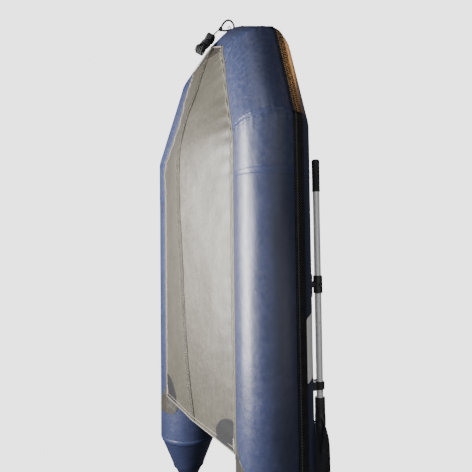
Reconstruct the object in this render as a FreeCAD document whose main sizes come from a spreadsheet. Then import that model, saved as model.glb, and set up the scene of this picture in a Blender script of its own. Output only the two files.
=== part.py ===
import FreeCAD, Part
import math
import os

import Sketcher
from FreeCAD import Placement, Rotation, Vector

# Inflatable dinghy with an air floor, an inflatable keel and a transom for an outboard motor.
# Frame: +Y towards the bow, +X to starboard, +Z up, origin below the middle of the boat at the
# keel strip's lowest point. Millimetres. A "station" is a distance forward of the transom's aft
# face, and a "level" is a height above the side tubes' lowest line.

doc = FreeCAD.newDocument("inflatable_dinghy")
sheet = doc.addObject("Spreadsheet::Sheet", "Sizes")

SIZES = {
    "tube_radius": 200,  # inflated side tubes, 400 mm across
    "tube_spacing": 1140,  # between the two side tubes' axes
    "transom_back": 910.5,  # the transom's aft face lies this far behind the origin
    "keel_drop": 99,  # the deepest point of the bottom below the tubes' lowest line
    "strip_thickness": 4,
    "strip_width": 44,
    "skin_thickness": 2.5,
    "glue_gap": 0.4,  # between a tube and what is glued onto it
    "cone_start": 324,  # all three measured aft from the transom
    "cone_seam": 548,
    "cone_end": 679,
    "cone_seam_radius": 108,
    "cone_end_radius": 46,
    "baffle_station": 1406,
    "baffle_thickness": 1,
    "bend_station": 1646,
    "shoulder_halfwidth": 331,
    "shoulder_station": 2119,
    "shoulder_rise": 83,
    "nose_halfwidth": 90,
    "nose_station": 2247,
    "nose_rise": 133,
    "deck_level": 20,
    "deck_thickness": 65,
    "strake_thickness": 5,
    "board_thickness": 25,
    "board_top_level": 397,
    "plate_width": 260,
    "plate_height": 170,
    "plate_thickness": 4,
    "thwart_station": 1150,
    "thwart_width": 230,
    "thwart_length": 880,
    "thwart_thickness": 20,
    "thwart_height": 475,
    "oar_lean": 13.7,  # degrees outboard from straight above the tube's axis
    "oar_distance": 257,  # from the tube's axis to the oar's axis
    "rowlock_station": 838.5,
    "shaft_radius": 18,
    "shaft_wall": 1.4,
    "grip_radius": 21.5,
    "blade_width": 176,
    "blade_roll": 4,  # degrees that the stowed blades are turned from the rowlock's own slope
    "blade_thickness": 7,
    "rope_radius": 4,
    "strop_radius": 6,
    "knot_radius": 15,
    "hank_radius": 30,
}
for row, (alias, value) in enumerate(SIZES.items(), start=1):
    sheet.set(f"A{row}", alias.replace("_", " "))
    sheet.set(f"B{row}", str(value))
    sheet.setAlias(f"B{row}", alias)
doc.recompute()

UP = Vector(0, 0, 1)
FORWARD = Vector(0, 1, 0)
nodes = {}


def size(alias):
    return float(sheet.get(alias))


def station(distance):
    """The Y of a point that lies this far forward of the transom's aft face."""
    return distance - size("transom_back")


def level(height):
    """The Z of a point this high above the side tubes' lowest line."""
    return height + size("keel_drop") + size("strip_thickness")


RADIUS = size("tube_radius")
GLUED = RADIUS + size("glue_gap")
AXIS_X = size("tube_spacing") / 2
AXIS_Z = level(RADIUS)


def keep(thing, label):
    """Makes a document object one of the boat's sub-parts, under its own name."""
    thing.Label = label
    nodes[label] = thing
    return thing


def bind(thing, **expressions):
    for name, expression in expressions.items():
        thing.setExpression(name, expression)
    return thing


def feature(name, shape, placement=None):
    thing = doc.addObject("Part::Feature", name)
    thing.Shape = shape
    if placement:
        thing.Placement = placement
    return thing


def combine(kind, name, *pieces):
    """A fusion or a compound of several document objects."""
    thing = doc.addObject(kind, name)
    if kind == "Part::Compound":
        thing.Links = list(pieces)
    else:
        thing.Shapes = list(pieces)
    return thing


def fuse(name, *pieces):
    return combine("Part::MultiFuse", name, *pieces)


def group(name, *pieces):
    return combine("Part::Compound", name, *pieces)


def cut(name, base, tool):
    thing = doc.addObject("Part::Cut", name)
    thing.Base = base
    thing.Tool = tool
    return thing


def mirror(source, name):
    """The same piece on the other side of the boat."""
    thing = doc.addObject("Part::Mirroring", name)
    thing.Source = source
    thing.Normal = Vector(1, 0, 0)
    return thing


def aimed(point, direction):
    """A placement whose local Z points along direction."""
    return Placement(point, Rotation(UP, direction))


def cylinder(name, placement, radius, height):
    """A cylinder whose radius and height are numbers or expressions of the sheet."""
    thing = doc.addObject("Part::Cylinder", name)
    thing.Placement = placement
    bind(thing, Radius=str(radius), Height=str(height))
    return thing


def box(name, corner, extent):
    thing = doc.addObject("Part::Box", name)
    thing.Placement.Base = Vector(*corner)
    bind(thing, Length=str(extent[0]), Width=str(extent[1]), Height=str(extent[2]))
    return thing


def new_sketch(body, name, role):
    plane = next(p for p in body.Origin.OriginFeatures if p.Role == role)
    sketch = body.newObject("Sketcher::SketchObject", name)
    sketch.AttachmentSupport = (plane, [""])
    sketch.MapMode = "FlatFace"
    return sketch


def pad(body, sketch, length, symmetric=False):
    thing = body.newObject("PartDesign::Pad", sketch.Name + "_pad")
    thing.Profile = sketch
    thing.Midplane = symmetric
    bind(thing, Length=str(length))
    return thing


def outline_sketch(body, name, role, points):
    """A closed outline of straight lines."""
    sketch = new_sketch(body, name, role)
    corners = [Vector(x, y, 0) for x, y in points]
    for here, there in zip(corners, corners[1:] + corners[:1]):
        sketch.addGeometry(Part.LineSegment(here, there), False)
    return sketch


def turned(name, profile):
    """A body turned about its local Z from a closed outline of (radius, height) points."""
    body = doc.addObject("PartDesign::Body", name)
    sketch = outline_sketch(body, name + "_profile", "XZ_Plane", profile)
    turn = body.newObject("PartDesign::Revolution", name + "_turn")
    turn.Profile = sketch
    turn.ReferenceAxis = (sketch, ["V_Axis"])
    turn.Angle = 360
    return body


def band(name, inner, outer, angles, front, length):
    """A strip that follows the starboard tube: a sector of a ring, run aft from front.

    Angles are in degrees from the tube's lowest line towards outboard. inner and outer are heights
    above the tube's surface.
    """
    body = doc.addObject("PartDesign::Body", name)
    sketch = new_sketch(body, name + "_section", "XY_Plane")
    low, high = (math.radians(angle - 90) for angle in sorted(angles))
    centre = Vector(0, 0, 0)
    rims = [RADIUS + inner, RADIUS + outer]
    for rim, height in zip(rims, (inner, outer)):
        index = sketch.addGeometry(Part.ArcOfCircle(Part.Circle(centre, UP, rim), low, high), False)
        number = sketch.addConstraint(Sketcher.Constraint("Radius", index, rim))
        sketch.setExpression(f"Constraints[{number}]", f"Sizes.tube_radius + {height}")
    for angle in (low, high):
        ray = Vector(math.cos(angle), math.sin(angle), 0)
        sketch.addGeometry(Part.LineSegment(ray * rims[0], ray * rims[1]), False)
    pad(body, sketch, length)
    body.Placement = Placement(Vector(AXIS_X, front, AXIS_Z), Rotation(Vector(1, 0, 0), 90))
    return body


def on_tube(angle, distance, y):
    """A point of the starboard side at an angle from the tube's lowest line towards outboard."""
    bearing = math.radians(angle)
    return Vector(AXIS_X + distance * math.sin(bearing), y, AXIS_Z - distance * math.cos(bearing))


def from_axis(angle):
    """The direction that leaves the starboard tube's axis at that angle."""
    bearing = math.radians(angle)
    return Vector(math.sin(bearing), 0, -math.cos(bearing))


# ---------------------------------------------------------------------------------------------
# Tubes
# ---------------------------------------------------------------------------------------------

BAFFLE = Vector(AXIS_X, station(size("baffle_station")), AXIS_Z)
BEND = Vector(AXIS_X, station(size("bend_station")), AXIS_Z)
SHOULDER = Vector(
    size("shoulder_halfwidth"), station(size("shoulder_station")), AXIS_Z + size("shoulder_rise")
)
NOSE = Vector(size("nose_halfwidth"), station(size("nose_station")), AXIS_Z + size("nose_rise"))
ACROSS = Vector(-1, 0, 0)
VALVE_ANGLE = 220  # degrees from the lowest line: on the inboard upper side of a tube
VALVE_STATIONS = {"side": 215, "bow": 1520}
DECK_VALVE_SPOT = (-290, station(190))
VALVE_HOLE = 19.5
VALVE_DEPTH = 58


def legs():
    """The straight legs of the starboard half of the bow, from the baffle to the middle."""
    return [(BAFFLE, BEND), (BEND, SHOULDER), (SHOULDER, NOSE), (NOSE, NOSE + ACROSS * NOSE.x)]


def leg_frame(start, end):
    """The direction of a leg, with its outboard and upward directions."""
    along = (end - start).normalize()
    upward = (UP - along * along.z).normalize()
    return along, along.cross(upward), upward


def mitre(index):
    """The plane where one leg of the bow meets the one before it, as a point and a normal."""
    lines = legs()
    along = leg_frame(*lines[index])[0]
    if index == 0:
        return lines[0][0], along
    before = leg_frame(*lines[index - 1])[0]
    return lines[index][0], (along + before).normalize()


def beyond(point, normal):
    """A block that fills the far side of a plane."""
    reach = 4 * RADIUS
    block = Part.makeBox(reach, reach, reach, Vector(-reach / 2, -reach / 2, 0))
    block.Placement = aimed(point, normal)
    return block


def mitred_leg(index, make_face):
    """One leg of the bow with its ends cut on the mitre planes."""
    start, end = legs()[index]
    along, outboard, upward = leg_frame(start, end)
    spare = RADIUS
    face = make_face(start - along * spare, along, outboard, upward)
    solid = face.extrude(along * (start.distanceToPoint(end) + 2 * spare))
    first, first_normal = mitre(index)
    if index < len(legs()) - 1:
        last, last_normal = mitre(index + 1)
    else:
        last, last_normal = end, along
    return solid.cut(beyond(first, -first_normal)).cut(beyond(last, last_normal))


def round_face(centre, along, outboard, upward):
    return Part.Face(Part.Wire(Part.makeCircle(RADIUS, centre, along)))


def sector_face(inner, outer, low, high):
    """Makes the section of a strip that follows a leg, between two angles and two heights."""

    def make(centre, along, outboard, upward):
        def at(height, angle):
            bearing = math.radians(angle)
            away = outboard * math.sin(bearing) - upward * math.cos(bearing)
            return centre + away * (RADIUS + height)

        middle = (low + high) / 2
        inside = Part.Arc(at(inner, low), at(inner, middle), at(inner, high)).toShape()
        outside = Part.Arc(at(outer, high), at(outer, middle), at(outer, low)).toShape()
        side = Part.makeLine(at(inner, high), at(outer, high))
        other = Part.makeLine(at(outer, low), at(inner, low))
        return Part.Face(Part.Wire([inside, side, outside, other]))

    return make


def bow_run(first, last, make_face):
    """Several legs of the bow as one solid."""
    pieces = [mitred_leg(index, make_face) for index in range(first, last + 1)]
    whole = pieces[0].multiFuse(pieces[1:])
    return whole.removeSplitter()


def mirrored(shape):
    return shape.mirror(Vector(0, 0, 0), Vector(1, 0, 0))


def across_bow(shape):
    """A starboard half joined to its own mirror image."""
    return shape.fuse(mirrored(shape)).removeSplitter()


def valve_recess(name, y):
    spot = on_tube(VALVE_ANGLE, RADIUS + 5, y)
    inward = from_axis(VALVE_ANGLE) * -1
    return cylinder(name, aimed(spot, inward), VALVE_HOLE, VALVE_DEPTH + 5)


def side_tubes():
    """The two straight air chambers, from the stern cones to the baffles."""
    aft = Vector(AXIS_X, station(-size("cone_start")), AXIS_Z)
    length = "Sizes.baffle_station + Sizes.cone_start - Sizes.baffle_thickness / 2"
    tube = cylinder("side_tube_form", aimed(aft, FORWARD), "Sizes.tube_radius", length)
    recess = valve_recess("side_valve_recess", station(VALVE_STATIONS["side"]))
    starboard = keep(cut("starboard_side_tube", tube, recess), "starboard_side_tube")
    keep(mirror(starboard, "port_side_tube"), "port_side_tube")


def stern_cones():
    """The tapered ends of the side tubes, each with a steeper tip that has a rounded edge."""
    aft = FORWARD * -1
    start = Vector(AXIS_X, station(-size("cone_start")), AXIS_Z)
    cone = doc.addObject("Part::Cone", "starboard_stern_cone")
    cone.Placement = aimed(start, aft)
    bind(cone, Radius1="Sizes.tube_radius", Radius2="Sizes.cone_seam_radius")
    bind(cone, Height="Sizes.cone_seam - Sizes.cone_start")
    keep(cone, "starboard_stern_cone")
    keep(mirror(cone, "port_stern_cone"), "port_stern_cone")

    seam_step = 4
    tip = doc.addObject("Part::Cone", "cone_tip_form")
    tip.Placement = aimed(Vector(AXIS_X, station(-size("cone_seam")), AXIS_Z), aft)
    bind(tip, Radius1=f"Sizes.cone_seam_radius - {seam_step}", Radius2="Sizes.cone_end_radius")
    bind(tip, Height="Sizes.cone_end - Sizes.cone_seam")
    doc.recompute()
    end_y = station(-size("cone_end"))
    rims = [
        (number, 14, 14)
        for number, edge in enumerate(tip.Shape.Edges, start=1)
        if abs(edge.BoundBox.YMax - end_y) < 1
    ]
    rounded = doc.addObject("Part::Fillet", "starboard_cone_tip")
    rounded.Base = tip
    rounded.Edges = rims
    keep(rounded, "starboard_cone_tip")
    keep(mirror(rounded, "port_cone_tip"), "port_cone_tip")


def baffles():
    """The fabric walls inside the tubes that keep the bow chamber apart from the side ones."""
    spot = Vector(AXIS_X, station(size("baffle_station") - size("baffle_thickness") / 2), AXIS_Z)
    disc = cylinder("baffle", aimed(spot, FORWARD), "Sizes.tube_radius - 1", "Sizes.baffle_thickness")
    keep(group("chamber_baffles", disc, mirror(disc, "port_baffle")), "chamber_baffles")


def bow_tubes():
    """The bow chamber: a bent quarter on each side and the nose that joins them."""
    back = size("baffle_thickness") / 2
    quarter = bow_run(0, 1, round_face)
    quarter = quarter.cut(beyond(BAFFLE + FORWARD * back, FORWARD * -1))
    plain = feature("port_bow_quarter_form", mirrored(quarter))
    recess = mirror(valve_recess("bow_valve_form", station(VALVE_STATIONS["bow"])), "bow_valve_recess")
    keep(feature("starboard_bow_quarter", quarter), "starboard_bow_quarter")
    keep(cut("port_bow_quarter", plain, recess), "port_bow_quarter")
    keep(feature("bow_nose", across_bow(bow_run(2, 3, round_face))), "bow_nose")


def rub_strakes():
    """A rubber strip along each tube's widest line with a raised bead, and one round the bow."""
    gap, top = size("glue_gap"), size("strake_thickness")
    low, high = 90, 109
    bead_low, bead_high, bead_top = 93.2, 94.8, top + 3
    front = station(size("baffle_station"))
    length = "Sizes.baffle_station + Sizes.cone_start - 20"
    strip = band("strake_strip", gap, top, (low, high), front, length)
    bead = band("strake_bead", top - 1, bead_top, (bead_low, bead_high), front, length)
    starboard = keep(fuse("starboard_rub_strake", strip, bead), "starboard_rub_strake")
    keep(mirror(starboard, "port_rub_strake"), "port_rub_strake")
    strip = bow_run(0, 3, sector_face(gap, top, low, high))
    bead = bow_run(0, 3, sector_face(top - 1, bead_top, bead_low, bead_high))
    half = strip.fuse(bead).cut(beyond(BAFFLE + FORWARD, FORWARD * -1))
    keep(feature("bow_rub_strake", across_bow(half)), "bow_rub_strake")


# ---------------------------------------------------------------------------------------------
# Bottom
# ---------------------------------------------------------------------------------------------

SEAM_STAND_OFF = 4  # the bottom's edge lies this far outside the tube's surface
SIDE_SEAM_ANGLE = 21.7  # degrees inboard from the tube's lowest line


def bottom_lines():
    """Pairs of points across the bottom's starboard half, keel first, from the transom forward.

    The outer point of a pair is on the seam with the tube: which leg of the tube it is on, how far
    along that leg, and the angle from the tube's lowest line towards inboard.
    """
    root = Vector(AXIS_X, station(0), AXIS_Z)
    side = (root, BEND)
    quarter, shoulder = legs()[1:3]
    run = size("bend_station")
    pairs = [
        (side, 0, SIDE_SEAM_ANGLE, 0, -7),
        (side, 250 / run, SIDE_SEAM_ANGLE, 250, -38),
        (side, 610 / run, SIDE_SEAM_ANGLE, 610, -66),
        (side, 1000 / run, SIDE_SEAM_ANGLE, 1000, -84),
        (side, 1406 / run, SIDE_SEAM_ANGLE, 1406, -size("keel_drop")),
        (side, 1625 / run, SIDE_SEAM_ANGLE, 1630, -92),
        (quarter, 0.35, 22, 1800, -56),
        (quarter, 0.65, 22, 1900, -20),
        (quarter, 0.92, 17, 2010, 26),
        (shoulder, 0.25, 2, 2115, 62),
        (shoulder, 0.34, -3, 2200, 93),
        (shoulder, 0.42, -9, 2275, 122),
        (shoulder, 0.48, -13, 2328, 143),
    ]
    lines = []
    for (start, end), share, angle, keel_station, keel_level in pairs:
        outboard, upward = leg_frame(start, end)[1:]
        bearing = math.radians(angle)
        away = outboard * -math.sin(bearing) - upward * math.cos(bearing)
        seam = start + (end - start) * share + away * (RADIUS + SEAM_STAND_OFF)
        lines.append((Vector(0, station(keel_station), level(keel_level)), seam))
    return lines


def ruled_skin(lines, thickness):
    """A thin solid over pairs of points, as thick as given straight up from each of them."""
    lift = Vector(0, 0, thickness)
    sections = [
        Part.makePolygon([inner, outer, outer + lift, inner + lift, inner]) for inner, outer in lines
    ]
    skin = Part.makeLoft(sections, True, True)
    if skin.Volume < 0:
        skin.reverse()
    return skin


def bottom():
    """The V bottom's two fabric panels, welded together at the keel."""
    half = feature("starboard_bottom_panel", ruled_skin(bottom_lines(), size("skin_thickness")))
    keep(group("bottom_skin", half, mirror(half, "port_bottom_panel")), "bottom_skin")


def keel_strip():
    """The rubber strip glued along the outside of the keel line."""
    lines = []
    for inner, outer in bottom_lines()[:-1]:
        reach = outer - inner
        edge = inner + reach * (size("strip_width") / 2 / reach.x)
        lines.append((inner, edge))
    drop = Vector(0, 0, -size("strip_thickness"))
    lowered = [(inner + drop, edge + drop) for inner, edge in lines]
    half = ruled_skin(lowered, size("strip_thickness") - size("glue_gap"))
    keep(feature("keel_strip", across_bow(half)), "keel_strip")


def keel_tube():
    """The inflatable keel between the bottom and the air floor, thickest where the V is deepest."""
    room_top = level(size("deck_level")) - 2
    rings = []
    for inner, outer in bottom_lines()[1:8]:
        slope = math.atan2(outer.z - inner.z, outer.x)
        floor = inner.z + size("skin_thickness") + 2
        radius = (room_top - floor) / (1 + 1 / math.cos(slope))
        ring = doc.addObject("Part::Circle", "keel_ring")
        ring.Radius = radius
        ring.Placement = aimed(Vector(0, inner.y, room_top - radius), FORWARD)
        rings.append(ring)
    loft = doc.addObject("Part::Loft", "keel_tube")
    loft.Sections = rings
    loft.Solid = True
    loft.Ruled = True
    keep(loft, "keel_tube")


def air_deck():
    """The high-pressure air floor, a slab that narrows to fit between the bow tubes."""
    half = [
        (396, 42), (396, 1630), (342, 1722), (268, 1800), (196, 1850), (118, 1896), (48, 1916)
    ]
    outline = [(x, station(y)) for x, y in half] + [(-x, station(y)) for x, y in reversed(half)]
    body = doc.addObject("PartDesign::Body", "deck_slab")
    sketch = outline_sketch(body, "deck_outline", "XY_Plane", outline)
    pad(body, sketch, "Sizes.deck_thickness")
    doc.recompute()
    rounding = body.newObject("PartDesign::Fillet", "deck_rounding")
    slab = body.Tip if body.Tip != rounding else body.Group[-2]
    flat = [
        f"Edge{number}"
        for number, edge in enumerate(slab.Shape.Edges, start=1)
        if edge.BoundBox.ZLength < 1
    ]
    rounding.Base = (slab, flat)
    rounding.Radius = 26
    body.Tip = rounding
    body.Placement.Base = Vector(0, 0, level(size("deck_level")))
    recess_spot = Vector(*DECK_VALVE_SPOT, level(size("deck_level") + size("deck_thickness") + 5))
    recess = cylinder("deck_valve_recess", aimed(recess_spot, UP * -1), VALVE_HOLE, VALVE_DEPTH + 5)
    keep(cut("air_deck", body, recess), "air_deck")


# ---------------------------------------------------------------------------------------------
# Transom
# ---------------------------------------------------------------------------------------------

DRAIN_SPOT = Vector(150, station(0), level(52))
HOLDER_BASE = 4
BOARD_EDGE = HOLDER_BASE + 1  # the board's curved edge stands this far off the tube
HOLDER_LOW, HOLDER_HIGH = 332, 222  # degrees: from low on the inboard side up past its widest


def transom():
    """The plywood board between the tubes, with a curved edge along each of them."""
    edge = RADIUS + BOARD_EDGE
    low = level(18)
    keel = level(1)
    top = level(size("board_top_level"))
    shoulder = top - 46
    low_x = AXIS_X - math.sqrt(edge**2 - (AXIS_Z - low) ** 2)
    high_x = AXIS_X - math.sqrt(edge**2 - (shoulder - AXIS_Z) ** 2)
    corner_x = high_x - 34
    body = doc.addObject("PartDesign::Body", "transom_blank")
    sketch = new_sketch(body, "transom_outline", "XZ_Plane")
    for side in (1, -1):
        foot, heel = Vector(0, keel, 0), Vector(side * low_x, low, 0)
        head, corner = Vector(side * high_x, shoulder, 0), Vector(side * corner_x, top, 0)
        waist = Vector(side * (AXIS_X - edge), AXIS_Z, 0)
        middle = Vector(0, top, 0)
        sketch.addGeometry(Part.LineSegment(foot, heel), False)
        sketch.addGeometry(Part.Arc(heel, waist, head), False)
        sketch.addGeometry(Part.LineSegment(head, corner), False)
        sketch.addGeometry(Part.LineSegment(corner, middle), False)
    pad(body, sketch, "Sizes.board_thickness")
    body.Placement.Base = Vector(0, station(size("board_thickness")), 0)
    hole = cylinder("drain_hole", aimed(DRAIN_SPOT - FORWARD * 5, FORWARD), 13, 60)
    keep(cut("transom_board", body, hole), "transom_board")


def transom_plates():
    """Hard plates on both faces of the board, where an outboard motor's clamps press."""
    low = level(size("board_top_level")) - size("plate_height") - 8
    left = -size("plate_width") / 2
    extent = ("Sizes.plate_width", "Sizes.plate_thickness", "Sizes.plate_height")
    outer = box("outer_plate", (left, station(-size("plate_thickness")), low), extent)
    inner = box("inner_plate", (left, station(size("board_thickness")), low), extent)
    keep(group("transom_plates", outer, inner), "transom_plates")


def transom_holders():
    """Moulded channels glued to the tubes, which grip the board's curved edges."""
    gap = size("glue_gap")
    slack = 0.5
    wall = 10
    front = station(size("board_thickness")) + 40
    base = band("holder_base", gap, HOLDER_BASE, (HOLDER_LOW, HOLDER_HIGH), front, 105)
    wall_front = station(size("board_thickness")) + slack + wall
    fore = band("holder_fore_wall", gap + 1, 30, (HOLDER_LOW - 8, HOLDER_HIGH), wall_front, wall)
    aft_front = station(0) - slack
    aft = band("holder_aft_wall", gap + 1, 30, (HOLDER_LOW - 8, HOLDER_HIGH), aft_front, wall)
    holder = fuse("starboard_holder", base, fore, aft)
    keep(group("transom_holders", holder, mirror(holder, "port_holder")), "transom_holders")


def transom_eyes():
    """Two towing eyes: a steel plate with half a ring standing out of it."""
    x, z = 300, level(150)
    plate = box("eye_plate", (x - 12, station(-3), z - 32), (24, 3, 64))
    ring = doc.addObject("Part::Torus", "eye_ring")
    ring.Placement = Placement(Vector(x, station(-3), z), Rotation(Vector(0, 1, 0), 90))
    ring.Radius1 = 21
    ring.Radius2 = 3.5
    behind = box("eye_cutter", (x - 60, station(-3) + 0.01, z - 60), (120, 60, 120))
    eye = fuse("starboard_eye", plate, cut("eye_bow", ring, behind))
    keep(group("transom_eyes", eye, mirror(eye, "port_eye")), "transom_eyes")


def drain():
    """A flanged sleeve through the board, and the plug that is pulled out of it to drain water."""
    flange, length = 4, size("board_thickness") + 4
    socket = turned(
        "drain_socket",
        [(9.5, -flange), (20, -flange), (20, -0.2), (12.9, -0.2), (12.9, length), (9.5, length)],
    )
    socket.Placement = aimed(DRAIN_SPOT, FORWARD)
    keep(socket, "drain_socket")
    head = -flange - 0.3
    plug = turned(
        "drain_plug",
        [(0, 22), (8.4, 22), (9.4, 14), (9.4, head), (15, head), (15, head - 6), (6, head - 9),
         (6, head - 20), (0, head - 20)],
    )
    plug.Placement = aimed(DRAIN_SPOT, FORWARD)
    keep(plug, "drain_plug")


# ---------------------------------------------------------------------------------------------
# Sliding seat
# ---------------------------------------------------------------------------------------------

RAIL_ANGLE = 225
RAIL_FRONT, RAIL_LENGTH = 1440, 580


def thwart_rails():
    """A T-shaped track glued along each tube, on which the seat slides fore and aft."""
    front = station(RAIL_FRONT)
    length = RAIL_LENGTH
    foot = band("rail_foot", size("glue_gap"), 4.4, (RAIL_ANGLE - 7, RAIL_ANGLE + 7), front, length)
    neck = band("rail_neck", 4, 9.6, (RAIL_ANGLE - 1.6, RAIL_ANGLE + 1.6), front, length)
    head = band("rail_head", 9.4, 13.4, (RAIL_ANGLE - 3.5, RAIL_ANGLE + 3.5), front, length)
    rail = fuse("starboard_rail", foot, neck, head)
    keep(group("thwart_rails", rail, mirror(rail, "port_rail")), "thwart_rails")


def thwart_shoes():
    """The hooked feet under the seat's ends, which hold the head of the track."""
    length = 190
    front = station(size("thwart_station")) + length / 2
    pieces = [band("shoe_back", 14.2, 19, (RAIL_ANGLE - 5.2, RAIL_ANGLE + 5.2), front, length)]
    for side in (-1, 1):
        near, far = RAIL_ANGLE + side * 4.1, RAIL_ANGLE + side * 5.2
        lip = RAIL_ANGLE + side * 2.1
        pieces.append(band("shoe_side", 5.4, 14.4, (near, far), front, length))
        pieces.append(band("shoe_lip", 5.4, 8.6, (lip, near + side * 0.2), front, length))
    top = on_tube(RAIL_ANGLE - 5, RADIUS + 17, 0)
    bottom_edge = on_tube(RAIL_ANGLE + 5, RADIUS + 17, 0)
    if top.z < bottom_edge.z:
        top, bottom_edge = bottom_edge, top
    seat = size("thwart_height")
    inner_x = bottom_edge.x - 24
    section = [
        (top.x, top.z), (bottom_edge.x, bottom_edge.z), (inner_x, bottom_edge.z), (inner_x, seat),
        (top.x, seat),
    ]
    wedge = doc.addObject("PartDesign::Body", "shoe_wedge")
    pad(wedge, outline_sketch(wedge, "shoe_wedge_section", "XZ_Plane", section), length)
    wedge.Placement.Base = Vector(0, front, 0)
    shoe = fuse("starboard_shoe", *pieces, wedge)
    keep(group("thwart_shoes", shoe, mirror(shoe, "port_shoe")), "thwart_shoes")


def thwart_board():
    """The seat: a board across the boat with rounded corners and edges."""
    body = doc.addObject("PartDesign::Body", "thwart_board")
    sketch = new_sketch(body, "thwart_outline", "XY_Plane")
    half_x, half_y = size("thwart_length") / 2, size("thwart_width") / 2
    corners = [Vector(x, y, 0) for x, y in (
        (-half_x, -half_y), (half_x, -half_y), (half_x, half_y), (-half_x, half_y))]
    for here, there in zip(corners, corners[1:] + corners[:1]):
        sketch.addGeometry(Part.LineSegment(here, there), False)
    for index in range(4):
        sketch.addConstraint(Sketcher.Constraint("Coincident", index, 2, (index + 1) % 4, 1))
    sketch.addConstraint(Sketcher.Constraint("Horizontal", 0))
    sketch.addConstraint(Sketcher.Constraint("Horizontal", 2))
    sketch.addConstraint(Sketcher.Constraint("Vertical", 1))
    sketch.addConstraint(Sketcher.Constraint("Vertical", 3))
    sketch.addConstraint(Sketcher.Constraint("Symmetric", 0, 1, 1, 2, -1, 1))
    across = sketch.addConstraint(Sketcher.Constraint("DistanceX", 0, 1, 0, 2, 2 * half_x))
    sketch.setExpression(f"Constraints[{across}]", "Sizes.thwart_length")
    along = sketch.addConstraint(Sketcher.Constraint("DistanceY", 1, 1, 1, 2, 2 * half_y))
    sketch.setExpression(f"Constraints[{along}]", "Sizes.thwart_width")
    slab = pad(body, sketch, "Sizes.thwart_thickness")
    doc.recompute()
    upright = [
        f"Edge{number}"
        for number, edge in enumerate(slab.Shape.Edges, start=1)
        if edge.BoundBox.ZLength > 1
    ]
    rounding = body.newObject("PartDesign::Fillet", "thwart_corners")
    rounding.Base = (slab, upright)
    rounding.Radius = 30
    body.Tip = rounding
    body.Placement.Base = Vector(0, station(size("thwart_station")), size("thwart_height"))
    keep(body, "thwart_board")


# ---------------------------------------------------------------------------------------------
# Oars and rowlocks
# ---------------------------------------------------------------------------------------------

OAR_ANGLE = 180 - size("oar_lean")  # on the starboard tube, from its lowest line
GRIP_TOP, GRIP_LENGTH = 670, 175  # forward of the rowlock
JOINT_AT = -240  # where the oar's two halves meet
SPIGOT_LENGTH = 80
BUTTON_AT = -200
SOCKET_AT = -594  # where the shaft enters the blade's neck
NECK_LENGTH = 140
BLADE_END = -1028
RING_AT, RING_LENGTH, RING_RADIUS = -531, 41, 26
PIN_TOP, PIN_RADIUS = 226, 7  # its top is this far from the tube's axis


def oar_place():
    """The starboard oar's frame: its origin in the rowlock and its local Z towards the grip."""
    origin = on_tube(OAR_ANGLE, size("oar_distance"), station(size("rowlock_station")))
    outward = from_axis(OAR_ANGLE)
    return Placement(origin, Rotation(outward.cross(FORWARD) * -1, outward, FORWARD, "ZXY"))


def rowlock_axis_place(distance):
    """A frame on the rowlock pin's axis, local Z outwards, this far from the tube's axis."""
    spot = on_tube(OAR_ANGLE, distance, station(size("rowlock_station")))
    return aimed(spot, from_axis(OAR_ANGLE))


def oar_grip():
    radius, hole = size("grip_radius"), size("shaft_radius") + 0.2
    low = GRIP_TOP - GRIP_LENGTH
    return turned(
        "oar_grip",
        [(hole, low), (radius, low), (radius, GRIP_TOP - 6), (radius - 6, GRIP_TOP), (0, GRIP_TOP),
         (0, GRIP_TOP - 6), (hole, GRIP_TOP - 6)],
    )


def oar_upper_shaft():
    radius, bore = size("shaft_radius"), size("shaft_radius") - size("shaft_wall")
    top = GRIP_TOP - 7
    tube = turned(
        "upper_shaft_tube", [(bore, JOINT_AT), (radius, JOINT_AT), (radius, top), (bore, top)]
    )
    place = Placement(Vector(0, 0, BUTTON_AT), Rotation(Vector(0, 1, 0), 90))
    return cut("oar_upper_shaft", tube, cylinder("upper_button_hole", place, 4.3, 40))


def oar_lower_shaft():
    radius, wall = size("shaft_radius"), size("shaft_wall")
    spigot = radius - wall - 0.1
    end = SOCKET_AT - NECK_LENGTH + 6
    top = JOINT_AT - 0.2
    tube = turned(
        "lower_shaft_tube",
        [(spigot - wall, end), (radius, end), (radius, top), (spigot, top),
         (spigot, top + SPIGOT_LENGTH), (spigot - wall, top + SPIGOT_LENGTH)],
    )
    place = Placement(Vector(0, 0, BUTTON_AT), Rotation(Vector(0, 1, 0), 90))
    return cut("oar_lower_shaft", tube, cylinder("lower_button_hole", place, 4.3, 40))


def oar_button():
    """The sprung button that locks the oar's two halves together."""
    button = turned("oar_button", [(0, 11), (4, 11), (4, 19.5), (3, 20.6), (0, 20.6)])
    button.Placement = Placement(Vector(0, 0, BUTTON_AT), Rotation(Vector(0, 1, 0), 90))
    return button


def oar_ring():
    inner, outer = size("shaft_radius") + 0.2, RING_RADIUS
    low, high = RING_AT - RING_LENGTH / 2, RING_AT + RING_LENGTH / 2
    return turned(
        "oar_ring",
        [(inner, low), (outer - 3, low), (outer, low + 3), (outer, high - 3), (outer - 3, high),
         (inner, high)],
    )


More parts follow.
